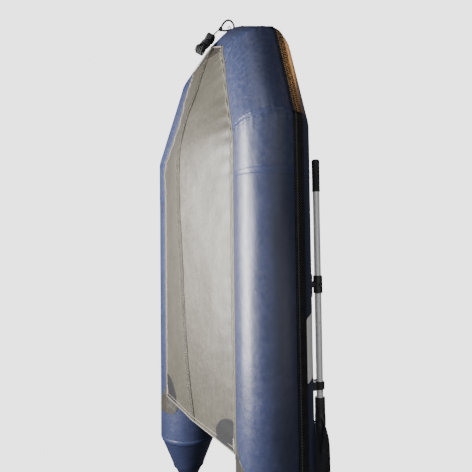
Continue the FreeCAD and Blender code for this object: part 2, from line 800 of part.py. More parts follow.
def oar_blade():
    """A flat blade with a hollow neck that takes the shaft, and a rib that fades out of the neck."""
    hole, neck = size("shaft_radius") + 0.2, 21.5
    neck_end, rib_end = SOCKET_AT - NECK_LENGTH, SOCKET_AT - NECK_LENGTH - 190
    bore_end = neck_end + 5
    spine = turned(
        "blade_spine",
        [(0, rib_end), (4, rib_end), (neck, neck_end), (neck, SOCKET_AT), (hole, SOCKET_AT),
         (hole, bore_end), (0, bore_end)],
    )
    half = size("blade_width") / 2
    widen, full = SOCKET_AT - 80, SOCKET_AT - 215
    outline = [
        (-18, widen), (18, widen), (52, widen - 56), (half - 9, full + 30), (half, full),
        (half, BLADE_END + 55), (half - 14, BLADE_END + 18), (half - 40, BLADE_END),
        (40 - half, BLADE_END), (14 - half, BLADE_END + 18), (-half, BLADE_END + 55),
        (-half, full), (9 - half, full + 30), (-52, widen - 56),
    ]
    plate = doc.addObject("PartDesign::Body", "blade_plate")
    sketch = outline_sketch(plate, "blade_outline", "XZ_Plane", outline)
    pad(plate, sketch, "Sizes.blade_thickness", symmetric=True)
    plate.Placement.Rotation = Rotation(UP, -size("blade_roll"))
    bore = cylinder("blade_bore", aimed(Vector(0, 0, bore_end), UP), hole, NECK_LENGTH)
    return cut("oar_blade", fuse("blade_form", spine, plate), bore)


def oar_collar():
    """The rowlock collar: a sleeve round the shaft, and a foot that turns on the rowlock's pin."""
    inner, outer, half = size("shaft_radius") + 0.1, 24.5, 46.5
    sleeve = turned(
        "collar_sleeve",
        [(inner, -half), (outer - 2, -half), (outer, 2 - half), (outer, half - 2),
         (outer - 2, half), (inner, half)],
    )
    sleeve.Placement = oar_place()
    foot_low, foot_high = 214, 236
    foot = cylinder("collar_foot", rowlock_axis_place(foot_low), 17, foot_high - foot_low)
    pin_hole = PIN_RADIUS + 0.08
    bore = cylinder("collar_bore", rowlock_axis_place(foot_low - 1), pin_hole, PIN_TOP - foot_low + 1.5)
    lane = cylinder("collar_lane", Placement(), inner, 200)
    lane.Placement = oar_place().multiply(Placement(Vector(0, 0, -100), Rotation()))
    body = cut("collar_body", fuse("collar_form", sleeve, foot), bore)
    knob = cylinder("collar_knob", Placement(), 6.5, 14)
    outboard = Placement(Vector(23, 0, -3), Rotation(Vector(0, 1, 0), 90))
    knob.Placement = oar_place().multiply(outboard)
    return cut("oar_collar", fuse("collar_with_knob", body, knob), lane)


def rowlock_bases():
    """A moulded pad on each tube with a boss and the steel pin that the collar turns on."""
    front = station(size("rowlock_station")) + 58
    pad_band = band("rowlock_pad", size("glue_gap"), 6, (OAR_ANGLE - 17, OAR_ANGLE + 17), front, 116)
    boss = cylinder("rowlock_boss", rowlock_axis_place(RADIUS + 3), 23, 10)
    pin = cylinder("rowlock_pin", rowlock_axis_place(RADIUS + 8), PIN_RADIUS, PIN_TOP - RADIUS - 8)
    base = fuse("starboard_rowlock", pad_band, boss, pin)
    keep(group("rowlock_bases", base, mirror(base, "port_rowlock")), "rowlock_bases")


def oar_rests():
    """The saddles near the stern that the stowed oars' rings lie on, each with an inboard stop."""
    y = station(size("rowlock_station") + RING_AT)
    width = 44
    pad_band = band("rest_pad", size("glue_gap"), 5, (OAR_ANGLE - 9, OAR_ANGLE + 9), y + 32, 64)
    top = size("oar_distance") - RING_RADIUS - 0.6
    outward = from_axis(OAR_ANGLE)
    frame = Placement(on_tube(OAR_ANGLE, 0, y), Rotation(FORWARD.cross(outward), FORWARD, outward, "ZXY"))
    post = box("rest_post", (-32, -width / 2, RADIUS + 2), (52, width, top - RADIUS - 2))
    stop = box("rest_stop", (-34, -width / 2, top - 10), (7, width, 34))
    for piece in (post, stop):
        piece.Placement = frame.multiply(piece.Placement)
    rest = fuse("starboard_oar_rest", pad_band, post, stop)
    keep(group("oar_rests", rest, mirror(rest, "port_oar_rest")), "oar_rests")


def oars():
    """Both oars, stowed along the tubes with their blades aft."""
    makers = {
        "oar_grip": oar_grip,
        "oar_upper_shaft": oar_upper_shaft,
        "oar_lower_shaft": oar_lower_shaft,
        "oar_button": oar_button,
        "oar_ring": oar_ring,
        "oar_blade": oar_blade,
    }
    for name, make in makers.items():
        form = make()
        doc.recompute()
        piece = feature("starboard_" + name, form.Shape.copy(), oar_place().multiply(form.Placement))
        keep(piece, "starboard_" + name)
        keep(mirror(piece, "port_" + name), "port_" + name)
    collar = keep(oar_collar(), "starboard_oar_collar")
    keep(mirror(collar, "port_oar_collar"), "port_oar_collar")
    rowlock_bases()
    oar_rests()


# ---------------------------------------------------------------------------------------------
# Valves, handles and the painter
# ---------------------------------------------------------------------------------------------

HANDLE_ANGLE = 215
HANDLE_STATION = 620
BOW_ANGLE = 14.4  # the bow ring points this far below straight ahead
RING_TURN_RADIUS, RING_WIRE_RADIUS = 23, 3


def valve_body():
    """A flanged barrel with a seat at its foot and a spider that guides the plunger's stem."""
    barrel = turned(
        "valve_barrel",
        [(14, -30), (14, 4.6), (30, 4.6), (30, 0.8), (19.2, 0.8), (19.2, -40), (10, -40), (10, -36)],
    )
    bars = [
        box("spider_bar", (-14.5, -1.5, -20), (29, 3, 4)),
        box("spider_bar", (-1.5, -14.5, -20), (3, 29, 4)),
    ]
    ring = cylinder("spider_ring", Placement(Vector(0, 0, -22), Rotation()), 6, 8)
    bore = cylinder("stem_bore", Placement(Vector(0, 0, -30), Rotation()), 3.1, 20)
    return cut("valve_body", fuse("valve_form", barrel, *bars, ring), bore)


def valve_plunger():
    """The plunger: a disc that seals under the seat, on a stem that a finger presses down."""
    return turned(
        "valve_plunger",
        [(0, -45.5), (13, -45.5), (13, -40.4), (8, -40.4), (3, -37), (3, -5), (5, -5), (5, -2.5),
         (0, -2.5)],
    )


def valve_cap():
    """The bayonet cap, with a plug in the barrel's mouth and a grip bar across its top."""
    shell = turned(
        "cap_shell",
        [(0, 0), (13.6, 0), (13.6, 5.0), (25, 5.0), (25, 11), (22, 14), (0, 14)],
    )
    bar = box("cap_bar", (-19, -3, 13), (38, 6, 7))
    return fuse("valve_cap", shell, bar)


def valves():
    """Four valves: one in each side tube, one in the bow chamber and one in the air floor."""
    spots = {}
    for name, side, where in (("starboard", 1, "side"), ("port", -1, "side"), ("bow", -1, "bow")):
        spot = on_tube(VALVE_ANGLE, RADIUS, station(VALVE_STATIONS[where]))
        outward = from_axis(VALVE_ANGLE)
        spots[name] = aimed(Vector(side * spot.x, spot.y, spot.z), Vector(side * outward.x, 0, outward.z))
    deck_top = level(size("deck_level") + size("deck_thickness"))
    spots["deck"] = Placement(Vector(*DECK_VALVE_SPOT, deck_top), Rotation())
    forms = {"body": valve_body(), "plunger": valve_plunger(), "cap": valve_cap()}
    doc.recompute()
    bodies = []
    for name, place in spots.items():
        bodies.append(feature(name + "_valve_body", forms["body"].Shape.copy(), place))
        for kind in ("plunger", "cap"):
            label = f"{name}_valve_{kind}"
            keep(feature(label, forms[kind].Shape.copy(), place), label)
    keep(group("valve_bodies", *bodies), "valve_bodies")


def carry_handles():
    """Moulded loops to lift the boat by: two inside the side tubes and one on top of the nose."""
    length, height, thick, foot, width = 210, 34, 9, 34, 30
    half = length / 2
    outline = [
        (-half, 0), (-half, 6), (foot - half, height), (half - foot, height), (half, 6), (half, 0),
        (half - foot, 0), (half - foot - 10, height - thick), (foot + 10 - half, height - thick),
        (foot - half, 0),
    ]
    form = doc.addObject("PartDesign::Body", "handle_form")
    pad(form, outline_sketch(form, "handle_outline", "XZ_Plane", outline), width, symmetric=True)
    doc.recompute()
    local = form.Shape.copy()
    side_spot = on_tube(HANDLE_ANGLE, RADIUS + 0.8, station(HANDLE_STATION))
    outward = from_axis(HANDLE_ANGLE)
    along = Rotation(FORWARD, outward.cross(FORWARD), outward, "ZXY")
    starboard = feature("starboard_handle", local, Placement(side_spot, along))
    top = Placement(Vector(0, NOSE.y, NOSE.z + RADIUS + 0.8), Rotation())
    nose = feature("nose_handle", local, top)
    keep(group("carry_handles", starboard, mirror(starboard, "port_handle"), nose), "carry_handles")



def bow_direction():
    bearing = math.radians(BOW_ANGLE)
    return Vector(0, math.cos(bearing), -math.sin(bearing))


def bow_spot(distance):
    """A point in front of the nose, this far from the nose tube's axis."""
    return Vector(0, NOSE.y, NOSE.z) + bow_direction() * distance


def bow_ring():
    """The towing ring at the bow and the rubber pad with the lug that holds it."""
    low, high = 90 - BOW_ANGLE - 14, 90 - BOW_ANGLE + 14
    pad_width = 84
    wide = mitred_leg(3, sector_face(size("glue_gap"), 5, low, high))
    front_part = Part.makeBox(pad_width, 800, 800, Vector(-pad_width / 2, NOSE.y, 0))
    pad_shape = across_bow(wide).common(front_part)
    lug = Part.makeCylinder(9, 24, Vector(-12, 0, 0), Vector(1, 0, 0))
    lug.translate(bow_spot(RADIUS + 10))
    ring_centre = bow_spot(RADIUS + 10 + RING_TURN_RADIUS)
    side = Vector(1, 0, 0)
    normal = bow_direction().cross(side)
    lane = Part.makeTorus(RING_TURN_RADIUS, RING_WIRE_RADIUS + 0.3, ring_centre, normal)
    block = Part.makeBox(24, 12, 12, Vector(-12, -6, 0))
    block.Placement = aimed(bow_spot(RADIUS + 3), bow_direction())
    keep(feature("bow_ring_pad", pad_shape.fuse([lug, block]).cut(lane)), "bow_ring_pad")
    ring = doc.addObject("Part::Torus", "bow_ring")
    ring.Placement = aimed(ring_centre, normal)
    ring.Radius1 = RING_TURN_RADIUS
    ring.Radius2 = RING_WIRE_RADIUS
    keep(ring, "bow_ring")


# The routes' points are measured like stations and levels. The strop leaves the knot, goes up
# through the ring, over its front and back down to the knot.
STROP_ROUTE = [
    (-3, 2459, 214), (-4, 2456, 236), (-2, 2476, 274), (0, 2484, 302), (3, 2508, 316),
    (4, 2538, 302), (4, 2546, 278), (3, 2534, 252), (2, 2504, 228), (2, 2474, 213),
]
KNOT = (0, 2465, 210)
PAINTER_ROUTE = [(-4, 2462, 204), (-9, 2443, 184), (-18, 2419, 163), (-30, 2391, 140)]
HANK_ENDS = [(-30, 2369, 122), (-30, 2279, 50)]
CORD_NODES = ("bow_strop", "painter_line", "painter_knot", "painter_hank")


def route_points(route):
    return [Vector(x, station(y), level(z)) for x, y, z in route]


def cord(name, route, radius, limp=3):
    """A rope's tube: straight runs joined by tangent arcs as large as the runs allow."""
    points = route_points(route)
    edges = []
    here = points[0]
    for before, corner, after in zip(points, points[1:], points[2:]):
        back, ahead = (before - corner), (after - corner)
        turn = math.pi - back.getAngle(ahead)
        shorter = min(back.Length, ahead.Length)
        arc_radius = 0.45 * shorter / math.tan(turn / 2)
        if arc_radius < limp * 2 * radius:
            print(f"{name}: arc radius {arc_radius:.1f} is under {limp} diameters")
        print(f"{name}: turn {math.degrees(turn):.0f} degrees, radius {arc_radius:.1f}")
        trim = 0.45 * shorter
        first = corner + back.normalize() * trim
        last = corner + ahead.normalize() * trim
        inward = (back + ahead).normalize()
        depth = arc_radius / math.cos(turn / 2) - arc_radius
        edges.append(Part.LineSegment(here, first).toShape())
        edges.append(Part.Arc(first, corner + inward * depth, last).toShape())
        here = last
    edges.append(Part.LineSegment(here, points[-1]).toShape())
    path = Part.Wire(edges)
    start = (points[1] - points[0]).normalize()
    section = Part.Wire(Part.makeCircle(radius, points[0], start))
    tube = path.makePipeShell([section], True, False)
    expected = math.pi * radius**2 * path.Length
    print(f"{name}: length {path.Length:.0f}, volume {tube.Volume:.0f} for {expected:.0f}")
    return tube


def painter():
    """The strop through the bow ring, the knot on it, the rope from the knot, and its hank."""
    keep(feature("bow_strop", cord("bow_strop", STROP_ROUTE, size("strop_radius"), 2)), "bow_strop")
    line = cord("painter_line", PAINTER_ROUTE, size("rope_radius"))
    keep(feature("painter_line", line), "painter_line")
    knot = doc.addObject("Part::Sphere", "painter_knot")
    knot.Placement.Base = route_points([KNOT])[0]
    bind(knot, Radius="Sizes.knot_radius")
    keep(knot, "painter_knot")
    first, last = route_points(HANK_ENDS)
    heading = last - first
    pieces = [cylinder("hank_middle", aimed(first, heading), "Sizes.hank_radius", heading.Length)]
    for spot in (first, last):
        end = doc.addObject("Part::Sphere", "hank_end")
        end.Placement.Base = spot
        bind(end, Radius="Sizes.hank_radius")
        pieces.append(end)
    keep(fuse("painter_hank", *pieces), "painter_hank")


def check_and_export():
    """Stops on any failed object, then writes each sub-part's STEP file."""
    doc.recompute()
    for thing in doc.Objects:
        if {"Invalid", "Error"} & set(thing.State):
            raise RuntimeError(f"{thing.Name} ({thing.Label}) failed: {thing.State}")
    os.makedirs("parts", exist_ok=True)
    whole = FreeCAD.BoundBox()
    for label, thing in nodes.items():
        shape = thing.Shape
        if shape.isNull() or not shape.isValid() or not shape.Solids:
            raise RuntimeError(f"{label} has no valid solid")
        if any(solid.Volume <= 0 for solid in shape.Solids):
            raise RuntimeError(f"{label} has a solid with no volume")
        if label not in CORD_NODES:
            whole.add(shape.BoundBox)
        shape.exportStep(f"parts/{label}.step")
    print(f"{len(nodes)} sub-parts, without the cords: {whole}")


side_tubes()
stern_cones()
baffles()
bow_tubes()
rub_strakes()
bottom()
keel_strip()
keel_tube()
air_deck()
transom()
transom_plates()
transom_holders()
transom_eyes()
drain()
thwart_rails()
thwart_shoes()
thwart_board()
oars()
valves()
carry_handles()
bow_ring()
painter()
check_and_export()
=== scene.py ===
import math

import bpy
import numpy as np
from mathutils import Matrix, Vector, noise


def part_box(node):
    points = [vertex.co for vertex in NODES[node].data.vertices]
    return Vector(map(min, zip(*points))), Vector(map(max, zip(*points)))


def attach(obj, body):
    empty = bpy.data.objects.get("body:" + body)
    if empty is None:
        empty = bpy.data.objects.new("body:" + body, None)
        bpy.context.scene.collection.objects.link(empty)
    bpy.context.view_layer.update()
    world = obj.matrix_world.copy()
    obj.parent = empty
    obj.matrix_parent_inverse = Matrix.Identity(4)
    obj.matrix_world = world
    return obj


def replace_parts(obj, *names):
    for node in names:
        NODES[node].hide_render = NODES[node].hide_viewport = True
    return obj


# Looks of the inflatable dinghy. Metres, in the boat's own frame: +Y forward, +X to starboard and
# +Z up. Distances named "station" are measured forward from the transom's aft face.

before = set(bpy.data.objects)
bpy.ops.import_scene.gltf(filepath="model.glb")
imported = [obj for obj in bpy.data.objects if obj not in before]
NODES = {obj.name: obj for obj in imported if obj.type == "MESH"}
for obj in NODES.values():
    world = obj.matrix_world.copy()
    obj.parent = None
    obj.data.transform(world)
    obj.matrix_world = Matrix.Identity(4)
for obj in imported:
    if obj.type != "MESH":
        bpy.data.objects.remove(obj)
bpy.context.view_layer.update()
UP = np.array([0.0, 0.0, 1.0])

# --- Sizes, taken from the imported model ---

SIDE_LOW, SIDE_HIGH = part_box("starboard_side_tube")
RADIUS = round((SIDE_HIGH.x - SIDE_LOW.x) / 2, 3)
AXIS_X = round((SIDE_HIGH.x + SIDE_LOW.x) / 2, 3)
AXIS_Z = SIDE_HIGH.z - RADIUS
CONE_START = SIDE_LOW.y
BAFFLE = SIDE_HIGH.y
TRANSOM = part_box("transom_board")[0].y
CONE_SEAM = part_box("starboard_stern_cone")[0].y
CONE_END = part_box("starboard_cone_tip")[0].y
BEND = BAFFLE + 0.2405
SHOULDER = (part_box("bow_nose")[1].x - 0.154, BAFFLE + 0.7135, AXIS_Z + 0.083)
NOSE = (0.090, BAFFLE + 0.8415, AXIS_Z + 0.133)
LEVEL = 0.103  # height of the side tubes' lowest line
SIDES = ((1, "starboard"), (-1, "port"))


def new_object(name, data, body="boat"):
    thing = bpy.data.objects.new(name, data)
    bpy.context.scene.collection.objects.link(thing)
    if body:
        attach(thing, body)
    return thing


# --- Camera ---

EYE = Vector((-2.3765, 0.1105, -0.9221))
LOOK = Vector((0.8713, 0.0272, 0.4899))
CAMERA_UP = Vector((-0.0297, 0.9996, -0.0027))
LENS = 31.95
AIM_SHIFT = (-0.0015, 0.0085)  # a small turn of the line of sight, to the right and up


def add_camera():
    look = LOOK.normalized()
    right = look.cross(CAMERA_UP).normalized()
    look = (look + AIM_SHIFT[0] * right + AIM_SHIFT[1] * CAMERA_UP).normalized()
    right = look.cross(CAMERA_UP).normalized()
    up = right.cross(look)
    data = bpy.data.cameras.new("camera")
    data.lens = LENS
    data.sensor_width = 36
    camera = bpy.data.objects.new("camera", data)
    bpy.context.scene.collection.objects.link(camera)
    turn = Matrix((right, up, -look)).transposed()
    camera.matrix_world = Matrix.Translation(EYE) @ turn.to_4x4()
    bpy.context.scene.camera = camera


# --- Shader helpers ---


class Shader:
    """A material's node tree, with short ways to add and join its nodes."""

    def __init__(self, name):
        self.material = bpy.data.materials.new(name)
        self.material.use_nodes = True
        self.tree = self.material.node_tree
        self.surface = self.tree.nodes["Principled BSDF"]

    def add(self, kind, settings=None, **inputs):
        made = self.tree.nodes.new("ShaderNode" + kind)
        for name, value in (settings or {}).items():
            setattr(made, name, value)
        for name, value in inputs.items():
            self.put(made.inputs[name.replace("_", " ")], value)
        return made

    def put(self, socket, value):
        if isinstance(value, bpy.types.NodeSocket):
            self.tree.links.new(value, socket)
        else:
            socket.default_value = value

    def finish(self, **inputs):
        """Sets inputs of the surface and hands over the material."""
        for name, value in inputs.items():
            self.put(self.surface.inputs[name.replace("_", " ")], value)
        return self.material

    def place(self, kind="UV"):
        """Texture coordinates, in metres where a mesh has its own UV map."""
        return self.add("TexCoord").outputs[kind]

    def noise(self, where, scale, detail=4.0, roughness=0.55, distortion=0.0):
        made = self.add(
            "TexNoise", Vector=where, Scale=scale, Detail=detail, Roughness=roughness, Distortion=distortion
        )
        return made.outputs["Fac"]

    def stretch(self, where, scale, turn=0.0):
        made = self.add("Mapping", Vector=where, Scale=scale, Rotation=(0, 0, turn))
        return made.outputs["Vector"]

    def bands(self, where, period, direction, distortion=0.0):
        """Parallel ridges; period is in the coordinates' own unit."""
        made = self.add(
            "TexWave",
            {"wave_type": "BANDS", "bands_direction": direction, "wave_profile": "SIN"},
            Vector=where,
            Scale=2 * math.pi / (20 * period),
            Distortion=distortion,
            Detail=1.0,
        )
        return made.outputs["Fac"]

    def sum(self, first, second, operation="ADD"):
        made = self.add("Math", {"operation": operation})
        self.put(made.inputs[0], first)
        self.put(made.inputs[1], second)
        return made.outputs[0]

    def crossed(self, where, degrees, period, operation):
        """Two sets of ridges, one turned by the angle and the other by its opposite."""
        ridges = []
        for angle in (degrees, -degrees):
            turned = self.stretch(where, (1, 1, 1), turn=math.radians(angle))
            ridges.append(self.bands(turned, period, "X"))
        return self.sum(*ridges, operation)

    def ramp(self, value, *stops):
        """A colour or grey ramp from (position, colour) pairs; a grey may be one number."""
        made = self.add("ValToRGB", Fac=value)
        ramp = made.color_ramp
        while len(ramp.elements) < len(stops):
            ramp.elements.new(0.5)
        for element, (position, colour) in zip(ramp.elements, stops):
            element.position = position
            grey = isinstance(colour, (int, float))
            element.color = (colour, colour, colour, 1) if grey else (*colour, 1)
        return made.outputs["Color"]

    def blend(self, share, first, second):
        made = self.add("Mix", {"data_type": "RGBA"})
        self.put(made.inputs[0], share)
        for socket, value in ((made.inputs[6], first), (made.inputs[7], second)):
            if isinstance(value, tuple):
                value = (*value, 1)
            self.put(socket, value)
        return made.outputs[2]

    def bump(self, height, distance, strength=1.0, normal=None):
        made = self.add("Bump", Height=height, Distance=distance, Strength=strength)
        if normal is not None:
            self.put(made.inputs["Normal"], normal)
        return made.outputs["Normal"]


def shade(colour, factor):
    return tuple(min(channel * factor, 1.0) for channel in colour)


# --- Materials ---


def coated_fabric(name, colour, gloss, scuff=(0.30, 0.29, 0.28), scuffed=0.06, dusty=0.03, scratched=0.0):
    """PVC-coated polyester: an embossed weave, soft ripples, wiped dirt and pale scuffs."""
    s = Shader(name)
    where = s.place()
    broad = s.noise(where, 5.0, detail=3.0)
    cloudy = s.noise(where, 38.0, detail=5.0, distortion=0.4)
    tone = s.ramp(broad, (0.25, shade(colour, 0.82)), (0.75, shade(colour, 1.12)))
    streaks = s.noise(s.stretch(where, (30, 4, 1), turn=0.3), 3.0, detail=8.0, roughness=0.7)
    worn = s.ramp(streaks, (0.66, 0.0), (0.80, scuffed))
    dust = s.ramp(cloudy, (0.45, 0.0), (0.95, dusty))
    tone = s.blend(dust, tone, scuff)
    tone = s.blend(worn, tone, scuff)
    if scratched:
        lines = s.noise(s.stretch(where, (1.2, 1, 1), turn=0.7), 5.5, detail=1.5, distortion=1.2)
        broken = s.ramp(s.noise(where, 9.0, detail=2.0), (0.50, 0.0), (0.62, scratched))
        thin = s.ramp(lines, (0.488, 0.0), (0.500, 1.0), (0.512, 0.0))
        scratch = s.ramp(s.sum(thin, broken), (1.0, 0.0), (1.0 + scratched, scratched * 2))
        tone = s.blend(scratch, tone, scuff)
    rough = s.ramp(cloudy, (0.2, gloss - 0.05), (0.8, gloss + 0.11))
    weave = s.sum(s.bands(where, 0.0016, "X"), s.bands(where, 0.0016, "Y"))
    woven = s.bump(weave, 0.00006, 0.5)
    leathery = s.bump(s.noise(where, 420.0, detail=3.0), 0.00022, 0.7, woven)
    rippled = s.bump(s.noise(where, 46.0, detail=3.0), 0.0011, 0.55, leathery)
    return s.finish(
        Base_Color=tone, Roughness=rough, Specular_IOR_Level=0.5, Coat_Weight=0.12, Coat_Roughness=0.28,
        Normal=s.bump(broad, 0.012, 0.5, rippled),
    )


def welded_tape(name, colour, gloss=0.34, shine=0.5):
    """A seam tape: the same coated fabric, rolled flat, with rows of small roller marks."""
    s = Shader(name)
    where = s.place()
    cloudy = s.noise(where, 70.0, detail=5.0)
    tone = s.ramp(cloudy, (0.3, shade(colour, 0.85)), (0.75, shade(colour, 1.18)))
    rough = s.ramp(cloudy, (0.3, gloss), (0.8, gloss + 0.14))
    rolled = s.bump(s.bands(where, 0.0028, "DIAGONAL", distortion=1.5), 0.0002, 0.6)
    creased = s.bump(s.noise(where, 130.0, detail=4.0), 0.0006, 0.8, rolled)
    return s.finish(Base_Color=tone, Roughness=rough, Specular_IOR_Level=shine, Normal=creased)


def knurled_rubber(name, dark, pale, worn_tone):
    """Extruded rubber: long ribs crossed by a diamond knurl, worn along its ribs."""
    s = Shader(name)
    where = s.place()
    cloudy = s.noise(where, 28.0, detail=6.0)
    worn = s.ramp(s.noise(s.stretch(where, (60, 5, 1)), 3.0, detail=6.0), (0.55, 0.0), (0.8, 0.35))
    tone = s.blend(worn, s.ramp(cloudy, (0.3, dark), (0.8, pale)), worn_tone)
    rough = s.ramp(cloudy, (0.3, 0.30), (0.8, 0.46))
    diamonds = s.crossed(where, 45, 0.0100, "MULTIPLY")
    shine = s.ramp(diamonds, (0.08, 0.03), (0.45, 0.62))
    ribs = s.bands(where, 0.0052, "X")
    ribbed = s.bump(ribs, 0.0006, 0.7, s.bump(diamonds, 0.0030, 1.0))
    return s.finish(Base_Color=tone, Roughness=rough, Specular_IOR_Level=shine, Normal=ribbed)


def moulded_plastic(name, colour, gloss=0.42, grain=260.0):
    """Injection-moulded plastic or rubber with a spark-eroded grain and rubbed high spots."""
    s = Shader(name)
    where = s.place("Object")
    cloudy = s.noise(where, 22.0, detail=6.0)
    tone = s.ramp(cloudy, (0.3, shade(colour, 0.7)), (0.8, shade(colour, 1.5)))
    scratched = s.noise(s.stretch(where, (90, 8, 90)), 4.0, detail=8.0, roughness=0.75)
    return s.finish(
        Base_Color=s.blend(s.ramp(scratched, (0.62, 0.0), (0.75, 0.3)), tone, shade(colour, 4.0)),
        Roughness=s.ramp(cloudy, (0.3, gloss), (0.8, gloss + 0.2)),
        Normal=s.bump(s.noise(where, grain, detail=3.0), 0.0004, 0.6),
    )


def anodised_tube():
    """Satin aluminium tube: fine drawn lines along it, dull spots and short scratches."""
    s = Shader("oar_aluminium")
    where = s.place("Object")
    drawn = s.noise(s.stretch(where, (420, 6, 420)), 2.0, detail=6.0)
    spots = s.noise(where, 45.0, detail=6.0, roughness=0.7)
    tone = s.ramp(drawn, (0.25, (0.74, 0.73, 0.71)), (0.8, (0.96, 0.95, 0.92)))
    return s.finish(
        Base_Color=s.blend(s.ramp(spots, (0.6, 0.0), (0.78, 0.5)), tone, (0.46, 0.45, 0.43)),
        Metallic=0.3,
        Roughness=s.ramp(spots, (0.3, 0.34), (0.8, 0.52)),
        Normal=s.bump(drawn, 0.0002, 0.5),
    )


def polished_steel():
    """Bright bar and wire with finger smears and faint drawn lines."""
    s = Shader("stainless_steel")
    where = s.place("Object")
    smears = s.noise(where, 60.0, detail=6.0)
    return s.finish(
        Base_Color=s.ramp(smears, (0.3, (0.50, 0.49, 0.48)), (0.8, (0.70, 0.69, 0.67))),
        Metallic=1.0,
        Roughness=s.ramp(smears, (0.3, 0.16), (0.8, 0.42)),
        Normal=s.bump(s.noise(s.stretch(where, (10, 300, 300)), 3.0), 0.0001, 0.5),
    )


def painted_ply(name, colour):
    """Marine plywood under semi-gloss paint: the grain telegraphs through, with small chips."""
    s = Shader(name)
    where = s.place("Object")
    grain = s.noise(s.stretch(where, (3, 60, 60)), 1.6, detail=9.0, roughness=0.65, distortion=0.6)
    cloudy = s.noise(where, 14.0, detail=5.0)
    tone = s.ramp(cloudy, (0.3, shade(colour, 0.86)), (0.8, shade(colour, 1.12)))
    tone = s.blend(s.ramp(grain, (0.45, 0.0), (0.75, 0.28)), tone, shade(colour, 0.6))
    chips = s.ramp(s.noise(where, 75.0, detail=2.0), (0.73, 0.0), (0.76, 0.8))
    return s.finish(
        Base_Color=s.blend(chips, tone, (0.36, 0.25, 0.14)),
        Roughness=s.ramp(grain, (0.3, 0.38), (0.8, 0.58)),
        Normal=s.bump(grain, 0.0007, 0.7),
    )


def drop_stitch_floor():
    """The air floor's top: a non-slip diamond emboss over rows of tiny dimples from the threads, with painted
    shade darkening its pressed grooves.
    """
    s = Shader("floor_fabric")
    where = s.place()
    cloudy = s.noise(where, 12.0, detail=6.0)
    tone = s.ramp(cloudy, (0.3, (0.235, 0.240, 0.247)), (0.8, (0.330, 0.335, 0.342)))
    diamonds = s.crossed(where, 30, 0.011, "MAXIMUM")
    # painted shade: the colour darkens along the pressed grooves
    groove_shade = s.ramp(diamonds, (0.80, 0.0), (0.97, 0.35))
    tone = s.blend(groove_shade, tone, (0.12, 0.125, 0.13))
    rough = s.ramp(cloudy, (0.3, 0.55), (0.8, 0.75))
    pressed = s.bump(diamonds, 0.0009, -0.8)
    dimpled = s.bump(s.noise(where, 95.0, detail=2.0), 0.0008, 0.5, pressed)
    return s.finish(Base_Color=tone, Roughness=rough, Normal=dimpled)


def laid_rope():
    """Braided black polyester rope: strands cross on a slant, with fuzz in the hollows."""
    s = Shader("rope")
    braid = s.crossed(s.place(), 35, 0.05, "MAXIMUM")
    fuzz = s.noise(s.place("Object"), 900.0, detail=4.0)
    tone = s.ramp(braid, (0.2, (0.004, 0.004, 0.005)), (0.9, (0.028, 0.028, 0.030)))
    return s.finish(
        Base_Color=s.blend(s.ramp(fuzz, (0.5, 0.0), (0.8, 0.35)), tone, (0.075, 0.073, 0.070)),
        Roughness=0.78,
        Normal=s.bump(fuzz, 0.0006, 0.9, s.bump(braid, 0.0012, 0.9)),
    )


def plain_label():
    """A blank off-white vinyl panel, a little grubby."""
    s = Shader("label_vinyl")
    where = s.place()
    grime = s.noise(where, 24.0, detail=8.0, roughness=0.7)
    return s.finish(
        Base_Color=s.ramp(grime, (0.3, (0.93, 0.91, 0.86)), (0.85, (0.80, 0.78, 0.73))),
        Roughness=s.ramp(grime, (0.3, 0.28), (0.8, 0.45)),
        Normal=s.bump(s.noise(where, 300.0, detail=3.0), 0.0002, 0.5),
    )


def dried_glue():
    """Smears of pale glue, crackled where they have dried along a patch's edge."""
    s = Shader("dried_glue")
    cells = s.add("TexVoronoi", {"feature": "DISTANCE_TO_EDGE"}, Vector=s.place(), Scale=170.0)
    cracks = s.ramp(cells.outputs["Distance"], (0.03, 0.0), (0.16, 1.0))
    tone = s.blend(cracks, (0.05, 0.05, 0.055), (0.34, 0.33, 0.31))
    return s.finish(Base_Color=tone, Roughness=0.30, Normal=s.bump(cracks, 0.0008, 0.9))


NAVY = (0.0185, 0.0245, 0.060)
GREY = (0.052, 0.048, 0.037)

